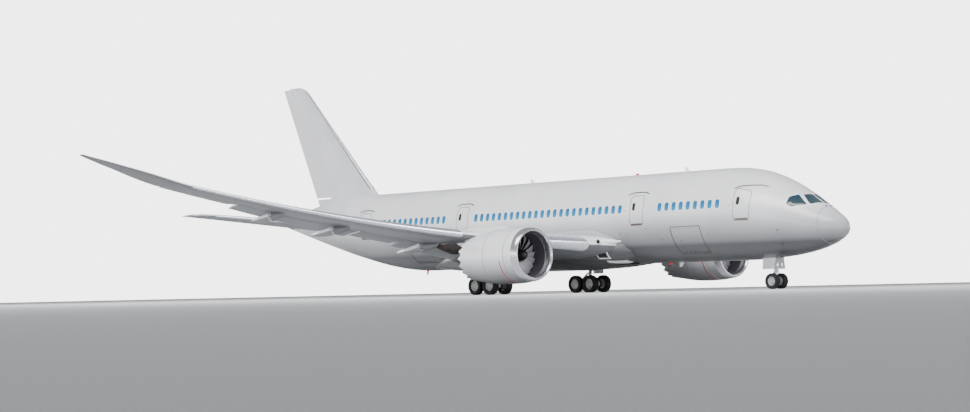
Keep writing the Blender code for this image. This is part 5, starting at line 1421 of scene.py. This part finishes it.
# %% [markdown]
# ## Finishes of the forms that stay
#
# Gear legs, bogie beams, gear doors and the engines' inner parts are right as they were built. They stay and
# take a better material on their slots: grey enamel on castings, white topcoat on doors, dull alloy inside.

# %% Kept forms
def refinish(node_name, material):
    """Gives every material slot of a form that stays one of this script's materials."""
    for slot in frame["nodes"][node_name].material_slots:
        slot.material = material


KEPT = {"main_leg": gear_enamel, "main_bogie": gear_enamel, "main_leg_door": white_topcoat,
        "nose_door": white_topcoat, "engine_core": blade_composite}
for word in SIDES:
    for name, material in KEPT.items():
        refinish(f"{name}_{word}", material)
for name in ("nose_leg", "nose_steering"):
    refinish(name, gear_enamel)
print(len(KEPT) * 2 + 2, "forms stay and take new finishes")

# %% [markdown]
# ## Small fittings
#
# Blade antennas, the red anti-collision beacons, pitot probes by the nose, a drain mast and the small round
# covers that are scattered along the belly.

# %% Antennas, beacons, probes and covers
PROBES = ((3.79, 107.0), (3.84, 133.0), (1.51, 10.0))
COVERS = ((15.99, 0.48), (7.15, 0.43), (14.19, -0.74), (13.09, -1.5), (9.08, -1.27), (16.64, -1.02), (16.0, -1.01),
          (11.47, -1.6))


def blade_antenna(name, station, z, length, height):
    """A swept fin on the centreline that stands up from the crown, or hangs down from the keel."""
    way = math.copysign(1, z)
    sections = []
    for share in (0.0, 0.5, 1.0):
        chord, middle = length * (1 - 0.55 * share), station + length * 0.35 * share
        sections.append([place(middle + chord / 2 * math.cos(math.tau * i / 16),
                               0.025 * (1 - 0.5 * share) * math.sin(math.tau * i / 16),
                               z + way * height * share) for i in range(16)])
    return smooth_over(loft(name, sections), 45)


for name, station, z, tall, material in (
        ("antenna_top_front", 12.9, 2.96, 0.3, white_trim), ("antenna_top_rear", 27.5, 2.96, 0.3, white_trim),
        ("antenna_belly", 13.6, -2.96, 0.3, white_trim), ("drain_mast", 38.9, -2.95, 0.34, lamp_glass)):
    length = 0.3 if name == "drain_mast" else 0.42
    dress(blade_antenna(name, station, z, length, tall), material, slot="white_paint")
for name, station, z in (("beacon_top", 17.4, 2.98), ("beacon_belly", 14.6, -2.98)):
    dome(name, place(station, 0, z), (0.16, 0.09, 0.13), lamp_glass, 24)
for word, side in SIDES.items():
    probes = []
    for station, degrees in PROBES:
        turn = math.radians(degrees * side)
        probes.append(rod("probe", hull_point(station, turn), hull_point(station - 0.16, turn, 0.13), 0.022, 12))
    dress(join(f"probes_{word}", probes), dark_steel, slot="dark_metal")
    covers = [plate("cover", sided(oblong(station, z, 0.09, 0.07, 1.0, 16), side), 0.006) for station, z in COVERS]
    dress(join(f"covers_{word}", covers), dark_steel, slot="dark_metal")
radome_ring = [(1.3 + 0.1 * math.cos(math.radians(degrees)), degrees) for degrees in range(0, 360, 6)]
seam = tape("radome_seam", radome_ring, 0.03, 0.004, closed=True)
dress(seam, seam_sealant, slot="white_paint")

# %% The bounds of what is shown
low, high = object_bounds()
